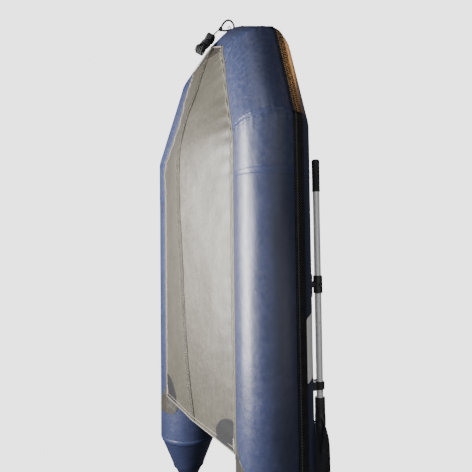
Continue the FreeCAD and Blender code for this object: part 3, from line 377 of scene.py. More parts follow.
MATERIALS = {
    "navy": coated_fabric("navy_pvc", NAVY, gloss=0.40),
    "navy_bow": coated_fabric(
        "navy_pvc_scuffed", shade(NAVY, 1.1), gloss=0.42, scuffed=0.30, dusty=0.10, scratched=0.22
    ),
    "navy_tape": welded_tape("navy_tape", shade(NAVY, 1.15)),
    "grey": coated_fabric("grey_pvc", GREY, gloss=0.42, scuff=shade(GREY, 2.4), scuffed=0.3, dusty=0.2),
    "grey_tape": welded_tape("grey_tape", shade(GREY, 1.35)),
    "grey_strip": knurled_rubber("keel_strip_rubber", shade(GREY, 0.7), shade(GREY, 1.1), shade(GREY, 1.5)),
    "grey_patch": coated_fabric("grey_patch_pvc", shade(GREY, 0.50), gloss=0.40, dusty=0.10),
    "dark_patch": welded_tape("dark_grey_patch", (0.016, 0.016, 0.017), gloss=0.60, shine=0.20),
    "pale_edge": welded_tape("pale_welt", (0.135, 0.128, 0.108), gloss=0.38),
    "dark_edge": welded_tape("dark_welt", (0.022, 0.021, 0.020), gloss=0.45),
    "strake": knurled_rubber(
        "strake_rubber", (0.008, 0.008, 0.009), (0.022, 0.021, 0.021), (0.055, 0.053, 0.05)
    ),
    # the bead's paler grey rubber is a painted highlight along the strake's ridge
    "strake_highlight": knurled_rubber(
        "strake_bead", (0.05, 0.05, 0.047), (0.08, 0.08, 0.075), (0.13, 0.13, 0.12)
    ),
    "black_plastic": moulded_plastic("black_plastic", (0.022, 0.022, 0.024)),
    "black_rubber": moulded_plastic("black_rubber", (0.018, 0.018, 0.019), gloss=0.55, grain=420.0),
    "handle_rubber": moulded_plastic("handle_rubber", (0.030, 0.031, 0.034), gloss=0.5, grain=340.0),
    "grey_plastic": moulded_plastic("grey_plastic", (0.085, 0.086, 0.09), gloss=0.4),
    "aluminium": anodised_tube(),
    "steel": polished_steel(),
    "transom_paint": painted_ply("transom_paint", (0.085, 0.087, 0.092)),
    "seat_paint": painted_ply("seat_paint", (0.30, 0.31, 0.32)),
    "floor": drop_stitch_floor(),
    "rope": laid_rope(),
    "label": plain_label(),
    "glue": dried_glue(),
}


def paint(thing, material):
    thing.data.materials.clear()
    thing.data.materials.append(MATERIALS[material])
    return thing


# --- Mesh helpers ---


def together(*parts):
    """Arrays that fit one another, joined as the coordinates of one array of points."""
    return np.stack(np.broadcast_arrays(*parts), axis=-1)


def grid_mesh(name, points, where, material, closed=False, body="boat", thickness=0.0, flip=False):
    """A smooth mesh over a grid of points, with its UV map in metres.

    Rows run along the piece and columns across it, so that rows x columns points outwards, or
    inwards if flip turns it over. closed joins the last column to the first, and where then has
    one more column than points.
    """
    if flip:
        points, where = points[:, ::-1], where[:, ::-1]
    rows, columns = points.shape[:2]
    width = columns if closed else columns - 1
    row, column = np.meshgrid(np.arange(rows - 1), np.arange(width), indexing="ij")
    after = (column + 1) % columns
    here, beyond = row * columns, (row + 1) * columns
    corners = together(here + column, beyond + column, beyond + after, here + after)
    mesh = bpy.data.meshes.new(name)
    mesh.from_pydata(points.reshape(-1, 3).tolist(), [], corners.reshape(-1, 4).tolist())
    corners = ((row, column), (row + 1, column), (row + 1, column + 1), (row, column + 1))
    spots = np.stack([where[corner] for corner in corners], axis=-2)
    layer = mesh.uv_layers.new(name="metres")
    layer.data.foreach_set("uv", spots.reshape(-1).astype(np.float32))
    mesh.polygons.foreach_set("use_smooth", [True] * len(mesh.polygons))
    mesh.update()
    thing = paint(new_object(name, mesh, None), material)
    if thickness:
        solid = thing.modifiers.new("thickness", "SOLIDIFY")
        solid.thickness = thickness
        solid.offset = -1
    if body:
        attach(thing, body)
    return thing


def lathe(name, profile, place, material, body="boat", sides=64):
    """Turns (radius, height) points about the local Z of a placement matrix."""
    turn = np.linspace(0, 2 * math.pi, sides + 1)[None, :]
    profile = np.array(profile)[::-1]
    radius, height = profile.T[..., None]
    travel = path_length(profile[::-1])[::-1, None]
    points = together(radius * np.cos(turn[:, :-1]), radius * np.sin(turn[:, :-1]), height)
    where = together(turn * np.maximum(radius, 0.01), travel)
    local = np.array(place)
    points = points @ local[:3, :3].T + local[:3, 3]
    return grid_mesh(name, points, where, material, closed=True, body=body)


def smooth_line(points, count):
    """Evenly spaced points on a smooth line through the given ones (rows of coordinates)."""
    points = np.asarray(points, float)
    steps = path_length(points)
    slopes = np.gradient(points, steps, axis=0)
    wanted = np.linspace(0, steps[-1], count)
    index = np.clip(np.searchsorted(steps, wanted, side="right") - 1, 0, len(steps) - 2)
    span = (steps[index + 1] - steps[index])[:, None]
    t = (wanted - steps[index])[:, None] / span
    a, b = points[index], points[index + 1]
    va, vb = slopes[index] * span, slopes[index + 1] * span
    return (
        (2 * t**3 - 3 * t**2 + 1) * a + (t**3 - 2 * t**2 + t) * va
        + (3 * t**2 - 2 * t**3) * b + (t**3 - t**2) * vb
    )


def squared(wave, power):
    """Flattens the crests of a wave from -1 to 1, so that a circle becomes a rounded square."""
    return np.sign(wave) * np.abs(wave) ** power


def ripple(x, y, scale, seed):
    """Smooth noise from -1 to 1 over two arrays of positions."""
    spots = zip(np.ravel(x) * scale, np.ravel(y) * scale)
    flat = [noise.noise(Vector((*spot, seed))) for spot in spots]
    return np.array(flat).reshape(np.shape(x))


def path_length(points):
    """How far along the line each of its points is."""
    return np.r_[0, np.cumsum(np.linalg.norm(np.diff(points, axis=0), axis=1))]


def unit(vectors):
    return vectors / np.linalg.norm(vectors, axis=-1, keepdims=True)


def bead(name, points, radius, material, normals=UP, sides=8):
    """A thin round line with closed ends, such as a welt or a hem, laid square to the normals."""
    along = unit(np.gradient(points, axis=0))
    across = unit(np.cross(along, normals))
    upward = np.cross(across, along)
    travel = path_length(points)
    points, across, upward, travel = (
        np.concatenate([rows[:1], rows, rows[-1:]]) for rows in (points, across, upward, travel)
    )
    thickness = np.full(len(points), radius)
    thickness[[0, -1]] *= 0.05
    turn = np.linspace(0, 2 * math.pi, sides + 1)
    ring = np.cos(turn)[None, :, None] * across[:, None] + np.sin(turn)[None, :, None] * upward[:, None]
    spots = points[:, None] + thickness[:, None, None] * ring
    where = together(turn[None, :] * radius, travel[:, None])
    return grid_mesh(name, spots[:, :-1], where, material, closed=True)


PATCH_GRID = 36  # rows, and columns, of a patch's mesh
PATCH_BEVEL = 0.0015


def rounded_grid(half_length, half_width, corner):
    """A rounded rectangle's spots (along its rows, across its columns) and their gap to the rim."""
    along = half_length * np.sin(np.linspace(-math.pi / 2, math.pi / 2, PATCH_GRID))[:, None]
    past = np.clip(np.abs(along) - (half_length - corner), 0, corner)
    reach = half_width - corner + np.sqrt(corner**2 - past**2)
    across = np.sin(np.linspace(-math.pi / 2, math.pi / 2, PATCH_GRID))[None, :] * reach
    along = along + 0 * across
    return along, across, np.minimum(half_length - np.abs(along), reach - np.abs(across))


def raised(rim, thickness):
    """The height of a glued patch at a gap from its rim."""
    share = np.clip(rim / PATCH_BEVEL, 0, 1)
    return 0.0003 + thickness * np.sqrt(share * (2 - share))


# --- The tube as one bent path ---

HALF_PATH = [
    (AXIS_X, CONE_START, AXIS_Z), (AXIS_X, BAFFLE, AXIS_Z), (AXIS_X, BEND, AXIS_Z), SHOULDER, NOSE
]
# From the starboard stern round the bow to the port stern.
PATH = np.array(HALF_PATH + [(-x, y, z) for x, y, z in reversed(HALF_PATH)])
RINGS = (0, 1, 8, 9)  # joints of the path where it only has a ring seam; the others are bends
LAST_LEG = len(PATH) - 2


def leg_frame(leg):
    along = unit(PATH[leg + 1] - PATH[leg])
    upward = unit(UP - along * along[2])
    return along, np.cross(along, upward), upward


def joint_plane(joint):
    """The plane through a joint of the path that halves its bend."""
    legs = [leg for leg in (joint - 1, joint) if 0 <= leg <= LAST_LEG]
    return PATH[joint], unit(sum(leg_frame(leg)[0] for leg in legs))


def fold_relief(joint, gap, angle):
    """How far the skin stands out near a joint: a welded valley with short folds across it."""
    if joint in RINGS:
        return -0.0012 * np.exp(-((gap / 0.010) ** 2))
    valley = -0.0030 * np.exp(-((gap / 0.017) ** 2))
    inner = (0.5 - 0.5 * np.sin(angle)) ** 2
    across = 0.0009 + 0.0030 * inner
    waves = np.cos(31 * angle + 2.1 * joint) + 0.6 * np.cos(53 * angle + 1.3 * joint)
    return valley + across * waves * np.exp(-gap / 0.045) * (1 - np.exp(-((gap / 0.008) ** 2)))


def skin_points(leg, shares, angles, height, relief=True):
    """Points on the tube's skin: rows at shares of a leg, columns at angles from the lowest line.

    Returns the points and how far along the leg each of them is.
    """
    along, outboard, upward = leg_frame(leg)
    bearing = np.radians(np.asarray(angles, float))[None, :]
    shares = np.asarray(shares, float)[:, None]
    away = outboard * np.sin(bearing)[..., None] - upward * np.cos(bearing)[..., None]
    rim = PATH[leg] + away * RADIUS
    ends = []
    for joint in (leg, leg + 1):
        spot, normal = joint_plane(joint)
        ends.append(((spot - rim) @ normal) / (along @ normal))
    first, last = ends
    travel = first + (last - first) * shares
    lift = np.broadcast_to(np.asarray(height, float), travel.shape).copy()
    if relief:
        lift += fold_relief(leg, travel - first, bearing + 0 * travel)
        lift += fold_relief(leg + 1, last - travel, bearing + 0 * travel)
        lift += 0.0009 * ripple(travel * 1.0 + leg, np.degrees(bearing) / 40 + 0 * travel, 3.1, leg)
    points = rim + along * travel[..., None] + away * lift[..., None]
    return points, travel


def tube_run(first, last, rows, angles, height=0.0, spans=None, relief=True):
    """Skin points over several legs, with the shared rows at their joints merged."""
    angles = np.asarray(angles, float)
    parts, travels, start = [], [], 0.0
    for leg in range(first, last + 1):
        low, high = (spans or {}).get(leg, (0.0, 1.0))
        # closer rows near the bends, where the folds are
        eased = 0.5 - 0.5 * np.cos(np.linspace(0, math.pi, rows[leg]))
        even = np.linspace(0, 1, rows[leg])
        shares = low + (high - low) * (0.5 * eased + 0.5 * even)
        points, travel = skin_points(leg, shares, angles, height, relief)
        travel = travel + start
        skipped = 1 if parts else 0
        parts.append(points[skipped:])
        travels.append(travel[skipped:])
        start += np.linalg.norm(PATH[leg + 1] - PATH[leg])
    across = np.radians(angles)[None, :] * RADIUS
    return np.concatenate(parts), together(across, np.concatenate(travels))


AROUND = 180  # columns round a tube
ROWS = {0: 150, 1: 34, 2: 64, 3: 26, 4: 26, 5: 26, 6: 64, 7: 34, 8: 150}


def tube_skin(name, first, last, material, *stands_for):
    angles = np.linspace(-180, 180, AROUND + 1)
    points, where = tube_run(first, last, ROWS, angles)
    thing = grid_mesh(name, points[:, :-1], where, material, closed=True)
    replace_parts(thing, *stands_for)
    return thing


def skins():
    tube_skin("starboard_side_skin", 0, 0, "navy", "starboard_side_tube")
    tube_skin("starboard_quarter_skin", 1, 2, "navy_bow", "starboard_bow_quarter")
    tube_skin("nose_skin", 3, 5, "navy_bow", "bow_nose")
    tube_skin("port_quarter_skin", 6, 7, "navy_bow", "port_bow_quarter")
    tube_skin("port_side_skin", 8, 8, "navy", "port_side_tube")


TAPE_HALF_WIDTH = 0.019
# (share of the way from the tape's edge to its middle, height): a thin edge, then a faint line
TAPE_RELIEF = [
    (0, 0.0001), (0.04, 0.0009), (0.08, 0.0010), (0.30, 0.0010), (0.36, 0.0016), (0.42, 0.0010), (1, 0.0012)
]


def seam_tapes():
    """The tapes over the rings and bends."""
    angles = np.linspace(-180, 180, AROUND + 1)
    steps, heights = np.array(TAPE_RELIEF).T
    for joint in range(1, LAST_LEG + 1):
        halves = []
        for leg, order in ((joint - 1, 1), (joint, -1)):
            shares = (1 - steps) * TAPE_HALF_WIDTH / np.linalg.norm(PATH[leg + 1] - PATH[leg])
            shares = 1 - shares if leg < joint else shares
            halves.append(skin_points(leg, shares[::order], angles, heights[::order, None]))
        (aft, aft_travel), (fore, fore_travel) = halves
        travel = np.concatenate([aft_travel, fore_travel[1:] + aft_travel[-1].mean()])
        where = together(np.radians(angles)[None, :] * RADIUS, travel)
        points = np.concatenate([aft, fore[1:]])[:, :-1]
        grid_mesh(f"seam_tape_{joint}", points, where, "navy_tape", closed=True)


CONE_RING = 0.018  # half the width of the tape over the ring seam where a cone starts
TIP_RADIUS = 0.046  # of the closed end, before its rim is rounded
TIP_RIM = 0.016


def cones():
    """The tapered stern ends, with a ring tape at each seam and a rounded closed tip."""
    seam_radius = (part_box("starboard_stern_cone")[1].x - AXIS_X) * 0.54
    inner = seam_radius - 0.004
    taper, tip = CONE_START - CONE_SEAM, CONE_SEAM - CONE_END
    slope = (RADIUS - seam_radius) / taper
    cone, end = [], []
    for share in np.linspace(0, 1, 40):
        hollow = 0.0015 * math.sin(math.pi * share) ** 0.5
        cone.append((RADIUS + (seam_radius - RADIUS) * share - hollow, taper * share))
    for share in np.linspace(0, 1, 16):
        end.append((inner + (TIP_RADIUS - inner) * share, taper + (tip - TIP_RIM) * share))
    for turn in np.linspace(0.15, 1, 8) * math.pi / 2:
        inward, onward = 1 - math.cos(turn), math.sin(turn)
        end.append((TIP_RADIUS - TIP_RIM * inward, taper + tip - TIP_RIM * (1 - onward)))
    flat = end[-1][0]
    end += [(flat * share, taper + tip - 0.001 * share) for share in (0.8, 0.5, 0.2, 0.001)]
    over = RADIUS + 0.0010
    ring = [
        (RADIUS + 0.0002, -CONE_RING), (over, -0.017), (over, 0.0), (over - slope * CONE_RING, CONE_RING),
        (RADIUS - slope * 0.019, 0.019),
    ]
    lip = [
        (seam_radius + 0.0144 * slope, taper - 0.012), (seam_radius + 0.0025, taper - 0.010),
        (seam_radius + 0.0022, taper), (seam_radius - 0.001, taper + 0.003), (inner, taper + 0.003),
    ]
    for side, name in SIDES:
        place = Matrix.Translation((side * AXIS_X, CONE_START, AXIS_Z)) @ Matrix.Rotation(math.pi / 2, 4, "X")
        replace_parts(lathe(f"{name}_cone_skin", cone, place, "navy", sides=AROUND), f"{name}_stern_cone")
        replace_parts(lathe(f"{name}_tip_skin", end, place, "navy", sides=96), f"{name}_cone_tip")
        lathe(f"{name}_cone_ring_tape", ring, place, "navy_tape", sides=AROUND)
        lathe(f"{name}_cone_lip", lip, place, "navy_tape", sides=96)


# --- Rub strake ---

# (angle from the tube's lowest line, height above its surface) across the strake and its bead, whose paler
# colour is a painted highlight along the strake's ridge
STRAKE_PROFILE = [
    (90.0, 0.0002), (90.0, 0.0036), (90.5, 0.0048), (91.2, 0.0050), (92.9, 0.0050), (95.1, 0.0050),
    (97.0, 0.0040), (98.0, 0.0050), (100.0, 0.0052), (102.0, 0.0050), (103.0, 0.0040), (104.0, 0.0050),
    (106.0, 0.0050), (108.0, 0.0049), (108.7, 0.0038), (109.0, 0.0002),
]
BEAD_PROFILE = [
    (93.1, 0.0048), (93.2, 0.0070), (93.6, 0.0080), (94.4, 0.0080), (94.8, 0.0070), (94.9, 0.0048)
]


def strake_run(name, first, last, spans, stands_for):
    rows = {leg: max(6, count // 2) for leg, count in ROWS.items()}
    pieces = []
    # the bead takes the paler rubber, a painted highlight along the ridge
    for label, profile, material in (
        (name, STRAKE_PROFILE, "strake"), (name + "_bead", BEAD_PROFILE, "strake_highlight")
    ):
        angles, heights = np.array(profile).T
        points, where = tube_run(first, last, rows, angles, heights[None, :], spans, relief=False)
        pieces.append(grid_mesh(label, points, where, material))
    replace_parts(pieces[0], stands_for)


def strakes():
    short = 0.020 / (BAFFLE - CONE_START)
    strake_run("starboard_strake", 0, 0, {0: (short, 1)}, "starboard_rub_strake")
    strake_run("bow_strake", 1, 7, {}, "bow_rub_strake")
    strake_run("port_strake", 8, 8, {8: (0, 1 - short)}, "port_rub_strake")


# --- Bottom ---

SIDE_LENGTH = BAFFLE - CONE_START
SIDE_SEAM = 21.7  # degrees inboard of the tube's lowest line


def on_side(station):
    return (TRANSOM + station - CONE_START) / SIDE_LENGTH


# Where the seam is (leg of the path, share along it, degrees inboard of its lowest line), and then
# the keel's station and its level above the side tubes' lowest line.
BOTTOM_LINES = [
    (0, on_side(0), SIDE_SEAM, 0, -0.007),
    (0, on_side(0.250), SIDE_SEAM, 0.250, -0.038),
    (0, on_side(0.610), SIDE_SEAM, 0.610, -0.066),
    (0, on_side(1.000), SIDE_SEAM, 1.000, -0.084),
    (0, on_side(1.406), SIDE_SEAM, 1.406, -0.099),
    (1, 0.92, SIDE_SEAM, 1.630, -0.092),
    (2, 0.35, 22, 1.800, -0.056),
    (2, 0.65, 22, 1.900, -0.020),
    (2, 0.92, 17, 2.010, 0.026),
    (3, 0.25, 2, 2.115, 0.062),
    (3, 0.34, -3, 2.200, 0.093),
    (3, 0.42, -9, 2.275, 0.122),
    (3, 0.48, -13, 2.328, 0.143),
]
SEAM_STAND_OFF = 0.004
BOTTOM_ROWS = 300
LAST_ROW = BOTTOM_ROWS - 1


def bottom_lines():
    """The keel line and the starboard seam line, smoothed, as BOTTOM_ROWS points each."""
    keel, seam = [], []
    for leg, share, angle, station, level in BOTTOM_LINES:
        outboard, upward = leg_frame(leg)[1:]
        bearing = math.radians(angle)
        away = -outboard * math.sin(bearing) - upward * math.cos(bearing)
        spot = PATH[leg] + (PATH[leg + 1] - PATH[leg]) * share
        seam.append(spot + away * (RADIUS + SEAM_STAND_OFF))
        keel.append((0, TRANSOM + station, LEVEL + level))
    both = smooth_line(np.hstack([keel, seam]), BOTTOM_ROWS)
    return both[:, :3], both[:, 3:]


KEEL, SEAM = bottom_lines()
KEEL_TRAVEL = path_length(KEEL)


def bottom_relief(along, beside, share):
    """How far the fabric hangs below the straight lines from the keel to the seams."""
    bow = np.clip((along - 1.30) / 0.35, 0, 1) * np.clip((2.42 - along) / 0.2, 0, 1)
    near_edge = np.exp(-(1 - share) / 0.16)
    folds = np.cos(2 * math.pi * along / 0.083 + 3.0 * ripple(along, beside, 2.0, 5.0))
    near_keel = np.exp(-share / 0.10)
    relief = 0.0034 * near_edge * folds * (0.3 + 0.7 * bow)
    relief += 0.0012 * near_keel * np.cos(2 * math.pi * along / 0.21 + 1.0)
    relief += 0.0040 * ripple(along, beside * 1.5, 2.6, 9.0) * np.sin(math.pi * share)
    relief += 0.0010 * ripple(along, beside, 11.0, 3.0)
    return np.where(share > 0.995, 0, relief)


def bottom_spots(rows, across, lift=0.0):
    """Points of the bottom: rows count from the transom, across goes from port (-1) to starboard (1)."""
    rows, across = np.broadcast_arrays(np.asarray(rows, float), np.asarray(across, float))
    share = np.abs(across)[..., None]
    count = np.arange(BOTTOM_ROWS)
    middle = np.stack([np.interp(rows, count, KEEL[:, axis]) for axis in range(3)], axis=-1)
    edge = np.stack([np.interp(rows, count, SEAM[:, axis]) for axis in range(3)], axis=-1)
    edge[..., 0] *= np.where(across < 0, -1, 1)
    points = middle + (edge - middle) * share
    along = np.interp(rows, count, KEEL_TRAVEL)
    points[..., 2] -= bottom_relief(along, points[..., 0], share[..., 0]) + lift
    return points, together(points[..., 0] * 1.03, along)


def bottom():
    """The V bottom's fabric, its keel strip, its welded edges and its hems."""
    points, where = bottom_spots(np.arange(BOTTOM_ROWS)[:, None], np.linspace(-1, 1, 101)[None, :])
    skin = grid_mesh("bottom_fabric", points, where, "grey", thickness=0.0012)
    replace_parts(skin, "bottom_skin")
    keel_guard()
    for side, name in SIDES:
        seam_flange(side, name)
        corner_patch(side, name)
        stern_gusset(side, name)
    hems()


KEEL_GUARD_HALF_WIDTH = 0.027
# (gap from its edge, depth) across half of the keel strip: a rounded rim, then a shallow hollow
KEEL_GUARD_PROFILE = [(0, 0.0002), (0.001, 0.0030), (0.003, 0.0036), (0.006, 0.0034), (0.008, 0.0022)]


def keel_guard():
    """The glued keel strip, with a dark line of glue along each edge."""
    half = [(gap - KEEL_GUARD_HALF_WIDTH, depth) for gap, depth in KEEL_GUARD_PROFILE]
    beside, depth = np.array(half + [(0, 0.0026)] + [(-x, z) for x, z in reversed(half)]).T
    stop = int(0.975 * BOTTOM_ROWS)
    keel, seam = KEEL[:stop], SEAM[:stop]
    reach = (seam - keel) / (seam[:, :1] - keel[:, :1])
    points = keel[:, None] + reach[:, None] * np.abs(beside)[:, None]
    points[..., 0] = beside
    points[..., 2] -= depth
    where = together(beside, KEEL_TRAVEL[:stop, None])
    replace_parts(grid_mesh("keel_guard", points, where, "grey_strip"), "keel_strip")
    for side, name in SIDES:
        line = (keel + reach * (KEEL_GUARD_HALF_WIDTH + 0.0012)) * [side, 1, 1] - UP * 0.0012
        bead(f"{name}_keel_glue_line", line, 0.0026, "dark_edge")


def seam_flange(side, name):
    """The bottom's welded edge: it curls from the panel onto the tube, between a welt and a line of glue."""
    centre = nearest_on_path(SEAM)
    outward = unit(SEAM - centre)
    beside = unit(np.cross(unit(np.gradient(SEAM, axis=0)), outward))
    beside = np.where(beside[:, :1] < 0, -beside, beside)
    width = np.linalg.norm(KEEL - SEAM, axis=1)
    rows = []
    for step, lift in ((0.0200, 0.0004), (0.0185, 0.0016), (0.0040, 0.0018)):
        rows.append(bottom_spots(np.arange(BOTTOM_ROWS), 1 - step / width, lift)[0])
    rows.append(SEAM + outward * 0.0016 + beside * 0.002)
    for step, height in ((0.007, 0.0030), (0.012, 0.0017), (0.0175, 0.0014), (0.0185, 0.0002)):
        turn = step / RADIUS
        rows.append(centre + (outward * math.cos(turn) + beside * math.sin(turn)) * (RADIUS + height))
    mirror = np.array([side, 1, 1])
    points = np.stack(rows, axis=1) * mirror
    across = np.array([0, 0.002, 0.016, 0.021, 0.027, 0.032, 0.038, 0.039])
    where = together(across, path_length(SEAM)[:, None])
    bead(f"{name}_seam_welt", points[:, 2], 0.0026, "pale_edge", outward * mirror)
    bead(f"{name}_seam_glue_line", points[:, 7], 0.0018, "dark_edge", outward * mirror)
    grid_mesh(f"{name}_seam_flange", points, where, "grey_tape", flip=side < 0)


def nearest_on_path(spots):
    """The nearest point of the starboard half of the tube's centreline to each of these."""
    near = []
    for leg in range(5):
        span = PATH[leg + 1] - PATH[leg]
        share = np.clip(((spots - PATH[leg]) @ span) / (span @ span), 0, 1)
        near.append(PATH[leg] + share[:, None] * span)
    nearest = np.argmin([np.linalg.norm(spots - line, axis=1) for line in near], axis=0)
    return np.array(near)[nearest, np.arange(len(spots))]


def corner_patch(side, name):
    """A dark rounded patch welded over the bottom's aft corner, with old glue along its outer edge."""
    share = np.linspace(0, 1, 40)[None, :]
    forward = np.linspace(0, 1, 40)[:, None]
    reach = 20.0 * np.sqrt(1 - 0.88 * (1 - share) ** 2)
    rows = 0.4 + forward * reach
    across = 0.60 + 0.392 * share
    rim = np.minimum((1 - forward) * reach * 0.008, share * 0.16)
    points, where = bottom_spots(rows, across, 0.0004 + raised(rim, 0.0014))
    grid_mesh(f"{name}_corner_patch", points * [side, 1, 1], where, "dark_patch", flip=side < 0)
    lengthwise = np.linspace(0, 1, 60)[:, None]
    crosswise = np.linspace(0, 1, 12)[None, :]
    rows = 1.5 + 9.0 * lengthwise
    width = 0.026 * np.sin(math.pi * lengthwise) ** 0.6 * (1 + 0.5 * ripple(rows * 0.6, 0 * rows, 1.0, 7.0))
    across = 0.988 - width * (1 - crosswise)
    smear = 0.0022 + 0.0016 * np.sin(math.pi * crosswise) * (1 + 0.6 * ripple(rows, across * 60, 1.0, 2.0))
    points, where = bottom_spots(rows, across, smear)
    grid_mesh(f"{name}_old_glue", points * [side, 1, 1], where, "glue", flip=side < 0)


# The gusset's station, and its outboard and inboard edges in degrees from the tube's lowest line
GUSSET = [
    (0.150, -19, -22), (0.060, -14, -22), (0.004, -6, -22), (-0.004, -5, -44), (-0.040, 8, -48),
    (-0.080, 14, -46), (-0.110, 10, -40), (-0.124, -4, -28),
]


def stern_gusset(side, name):
    """The grey patch that carries the bottom's seam past the transom onto the tube."""
    weight = np.array([1, 0.004, 0.004])  # so that a degree counts as 4 mm in the smoothing
    station, outer, inner = (smooth_line(GUSSET * weight, 60) / weight).T[..., None]
    share = np.sin(np.linspace(-math.pi / 2, math.pi / 2, 30)) * 0.5 + 0.5
    angle = inner + (outer - inner) * share
    rim = np.minimum(share, 1 - share) * np.radians(outer - inner) * RADIUS
    rim = np.minimum(rim, math.sqrt(2) * path_length(station)[::-1, None])
    points = side_spot(side, TRANSOM + station, angle, raised(rim, 0.0011))
    where = together(np.radians(angle) * RADIUS, station)
    grid_mesh(f"{name}_stern_gusset", points, where, "grey_patch", flip=side > 0)


def hems():
    """The double hem along the bottom's aft edge, and the nose's doubled fabric with its own edge."""
    across = np.linspace(-0.995, 0.995, 121)
    for name, row, radius in (("aft_hem", 0.2, 0.0042), ("aft_hem_stitch", 3.2, 0.0022)):
        bead(name, bottom_spots(row, across, 0.0016)[0], radius, "pale_edge", sides=10)
    low = 0.966 * LAST_ROW
    rows = np.linspace(low, LAST_ROW - 0.2, 24)[:, None]
    points, where = bottom_spots(rows, np.linspace(-0.96, 0.96, 61)[None, :], 0.0016)
    grid_mesh("nose_doubler", points, where, "grey_patch", thickness=0.0012)
    bead("nose_hem", bottom_spots(LAST_ROW, across * 0.97, 0.0024)[0], 0.0050, "pale_edge", sides=10)
    bead("nose_doubler_edge", bottom_spots(low, across * 0.97, 0.0024)[0], 0.0018, "grey_tape", sides=10)


# --- What is glued to the side tubes ---


def side_spot(side, y, angle, height):
    """Points beside a side tube: side is 1 to starboard, the angle is from the lowest line outboard."""
    bearing = np.radians(angle)
    reach = RADIUS + height
    return together(side * (AXIS_X + reach * np.sin(bearing)), y, AXIS_Z - reach * np.cos(bearing))


def side_patch(name, side, y, angle, length, width, corner, thickness, material, slant=0.0):
    """A rounded patch glued to a side tube, whose ends may lean."""
    along, across, rim = rounded_grid(length / 2, width / 2, corner)
    angles = angle + np.degrees(across / RADIUS)
    points = side_spot(side, y + along + slant * across, angles, raised(rim, thickness))
    grid_mesh(name, points, together(across, along), material, flip=side < 0)


LABEL_ANGLE, LABEL_STATION = 119.8, 0.5425


def labels():
    """A blank panel on each tube, with a thin dark border."""
    y = TRANSOM + LABEL_STATION
    for side, name in SIDES:
        for layer, length, width, corner, thickness, material in (
            ("panel_border", 0.322, 0.078, 0.014, 0.0009, "dark_edge"),
            ("blank_panel", 0.315, 0.071, 0.012, 0.0015, "label"),
        ):
            spot = (side, y, LABEL_ANGLE)
            side_patch(f"{name}_{layer}", *spot, length, width, corner, thickness, material, slant=0.35)


# --- Handles, floor and keel tube ---

HANDLE_STATION, HANDLE_ANGLE = 0.620, 215.0
# half of a handle's arch: how far from its middle and how high above the tube
HANDLE_LINE = [(-0.103, 0.0035), (-0.088, 0.0085), (-0.070, 0.0205), (-0.052, 0.0285), (-0.025, 0.0300)]


def handle_strap(name, centre, along, outward):
    """A moulded loop: a flat strap that thickens into a round grip, on two stepped feet."""
    line = np.array(HANDLE_LINE + [(-a, h) for a, h in reversed(HANDLE_LINE)])
    line = smooth_line(line, 72)
    share = np.linspace(-1, 1, len(line))
    grip = np.clip((0.45 - np.abs(share)) / 0.15, 0, 1)
    half_width = 0.0148 - 0.0030 * grip
    half_depth = 0.0030 + 0.0018 * grip + 0.0004 * grip * np.cos(2 * math.pi * share / 0.055)
    heading = unit(np.gradient(line, axis=0))
    turn = np.linspace(0, 2 * math.pi, 25)
    round_way, deep_way = squared(np.cos(turn), 0.62), squared(np.sin(turn), 0.62)
    across = np.cross(along, outward)
    centres = centre + line[:, :1] * along + line[:, 1:] * outward
    lifted = heading[:, :1] * outward - heading[:, 1:] * along
    ring = (
        half_width[:, None, None] * round_way[:, None] * across
        + half_depth[:, None, None] * deep_way[:, None] * lifted[:, None]
    )
    points = centres[:, None] + ring
    where = together(turn[None, :] * 0.012, path_length(line)[:, None])
    return grid_mesh(name, points[:, :-1], where, "handle_rubber", closed=True)


def handles():
    """Two carrying handles inside the side tubes and one on the nose, each on its patch."""
    y, angle = TRANSOM + HANDLE_STATION, HANDLE_ANGLE
    straps = []
    for side, name in SIDES:
        side_patch(f"{name}_handle_patch", side, y, angle, 0.275, 0.100, 0.030, 0.0012, "navy_tape")
        for foot, shift in (("handle_foot_aft", -0.093), ("handle_foot_fore", 0.093)):
            spot = (side, y + shift, angle)
            side_patch(f"{name}_{foot}", *spot, 0.052, 0.052, 0.014, 0.0036, "handle_rubber")
        centre = side_spot(side, y, angle, 0.0008)
        outward = unit(side_spot(side, y, angle, 0.1) - centre)
        straps.append(handle_strap(f"{name}_handle", centre, np.array([0.0, 1.0, 0.0]), outward))
    top = np.array([0.0, NOSE[1], NOSE[2] + RADIUS + 0.0008])
    straps.append(handle_strap("nose_handle", top, np.array([1.0, 0.0, 0.0]), UP))
    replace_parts(straps[0], "carry_handles")
    along, across, rim = rounded_grid(0.085, 0.045, 0.022)
    bearing = across / RADIUS
    reach = RADIUS + raised(rim, 0.0022)
    points = together(along, NOSE[1] - reach * np.sin(bearing), NOSE[2] + reach * np.cos(bearing))
    grid_mesh("nose_handle_patch", points, together(across, along), "navy_tape")


DECK_LOW, DECK_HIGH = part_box("air_deck")
DECK_OUTLINE = [  # half width and station
    (0.396, 0.042), (0.396, 0.500), (0.396, 1.000), (0.396, 1.600), (0.342, 1.722), (0.268, 1.800),
    (0.196, 1.850), (0.118, 1.896), (0.048, 1.916),
]
DECK_ROUNDING = 0.026


def deck_section(half_width, inset):
    """The deck's cross-section as a loop of (x, z), drawn in by inset at its rounded ends."""
    half_width = half_width - inset * 0.6
    low, high = DECK_LOW.z + inset, DECK_HIGH.z - inset
    corner = min(DECK_ROUNDING, (high - low) / 2 - 0.0005, half_width * 0.9)
    turn = np.linspace(0, math.pi / 2, 9)
    top = np.linspace(-(half_width - corner), half_width - corner, 41)[1:-1]
    flat, rise, run = half_width - corner, corner * np.sin(turn), corner * np.cos(turn)
    right = together(flat + rise, high - corner + run)
    lower = together(flat + run, low + corner - rise)
    under = np.linspace(flat, -flat, 13)[1:-1]
    mirrored = [lower[::-1] * [-1, 1], right[::-1] * [-1, 1]]
    return np.concatenate([together(top, high), right, lower, together(under, low)] + mirrored)


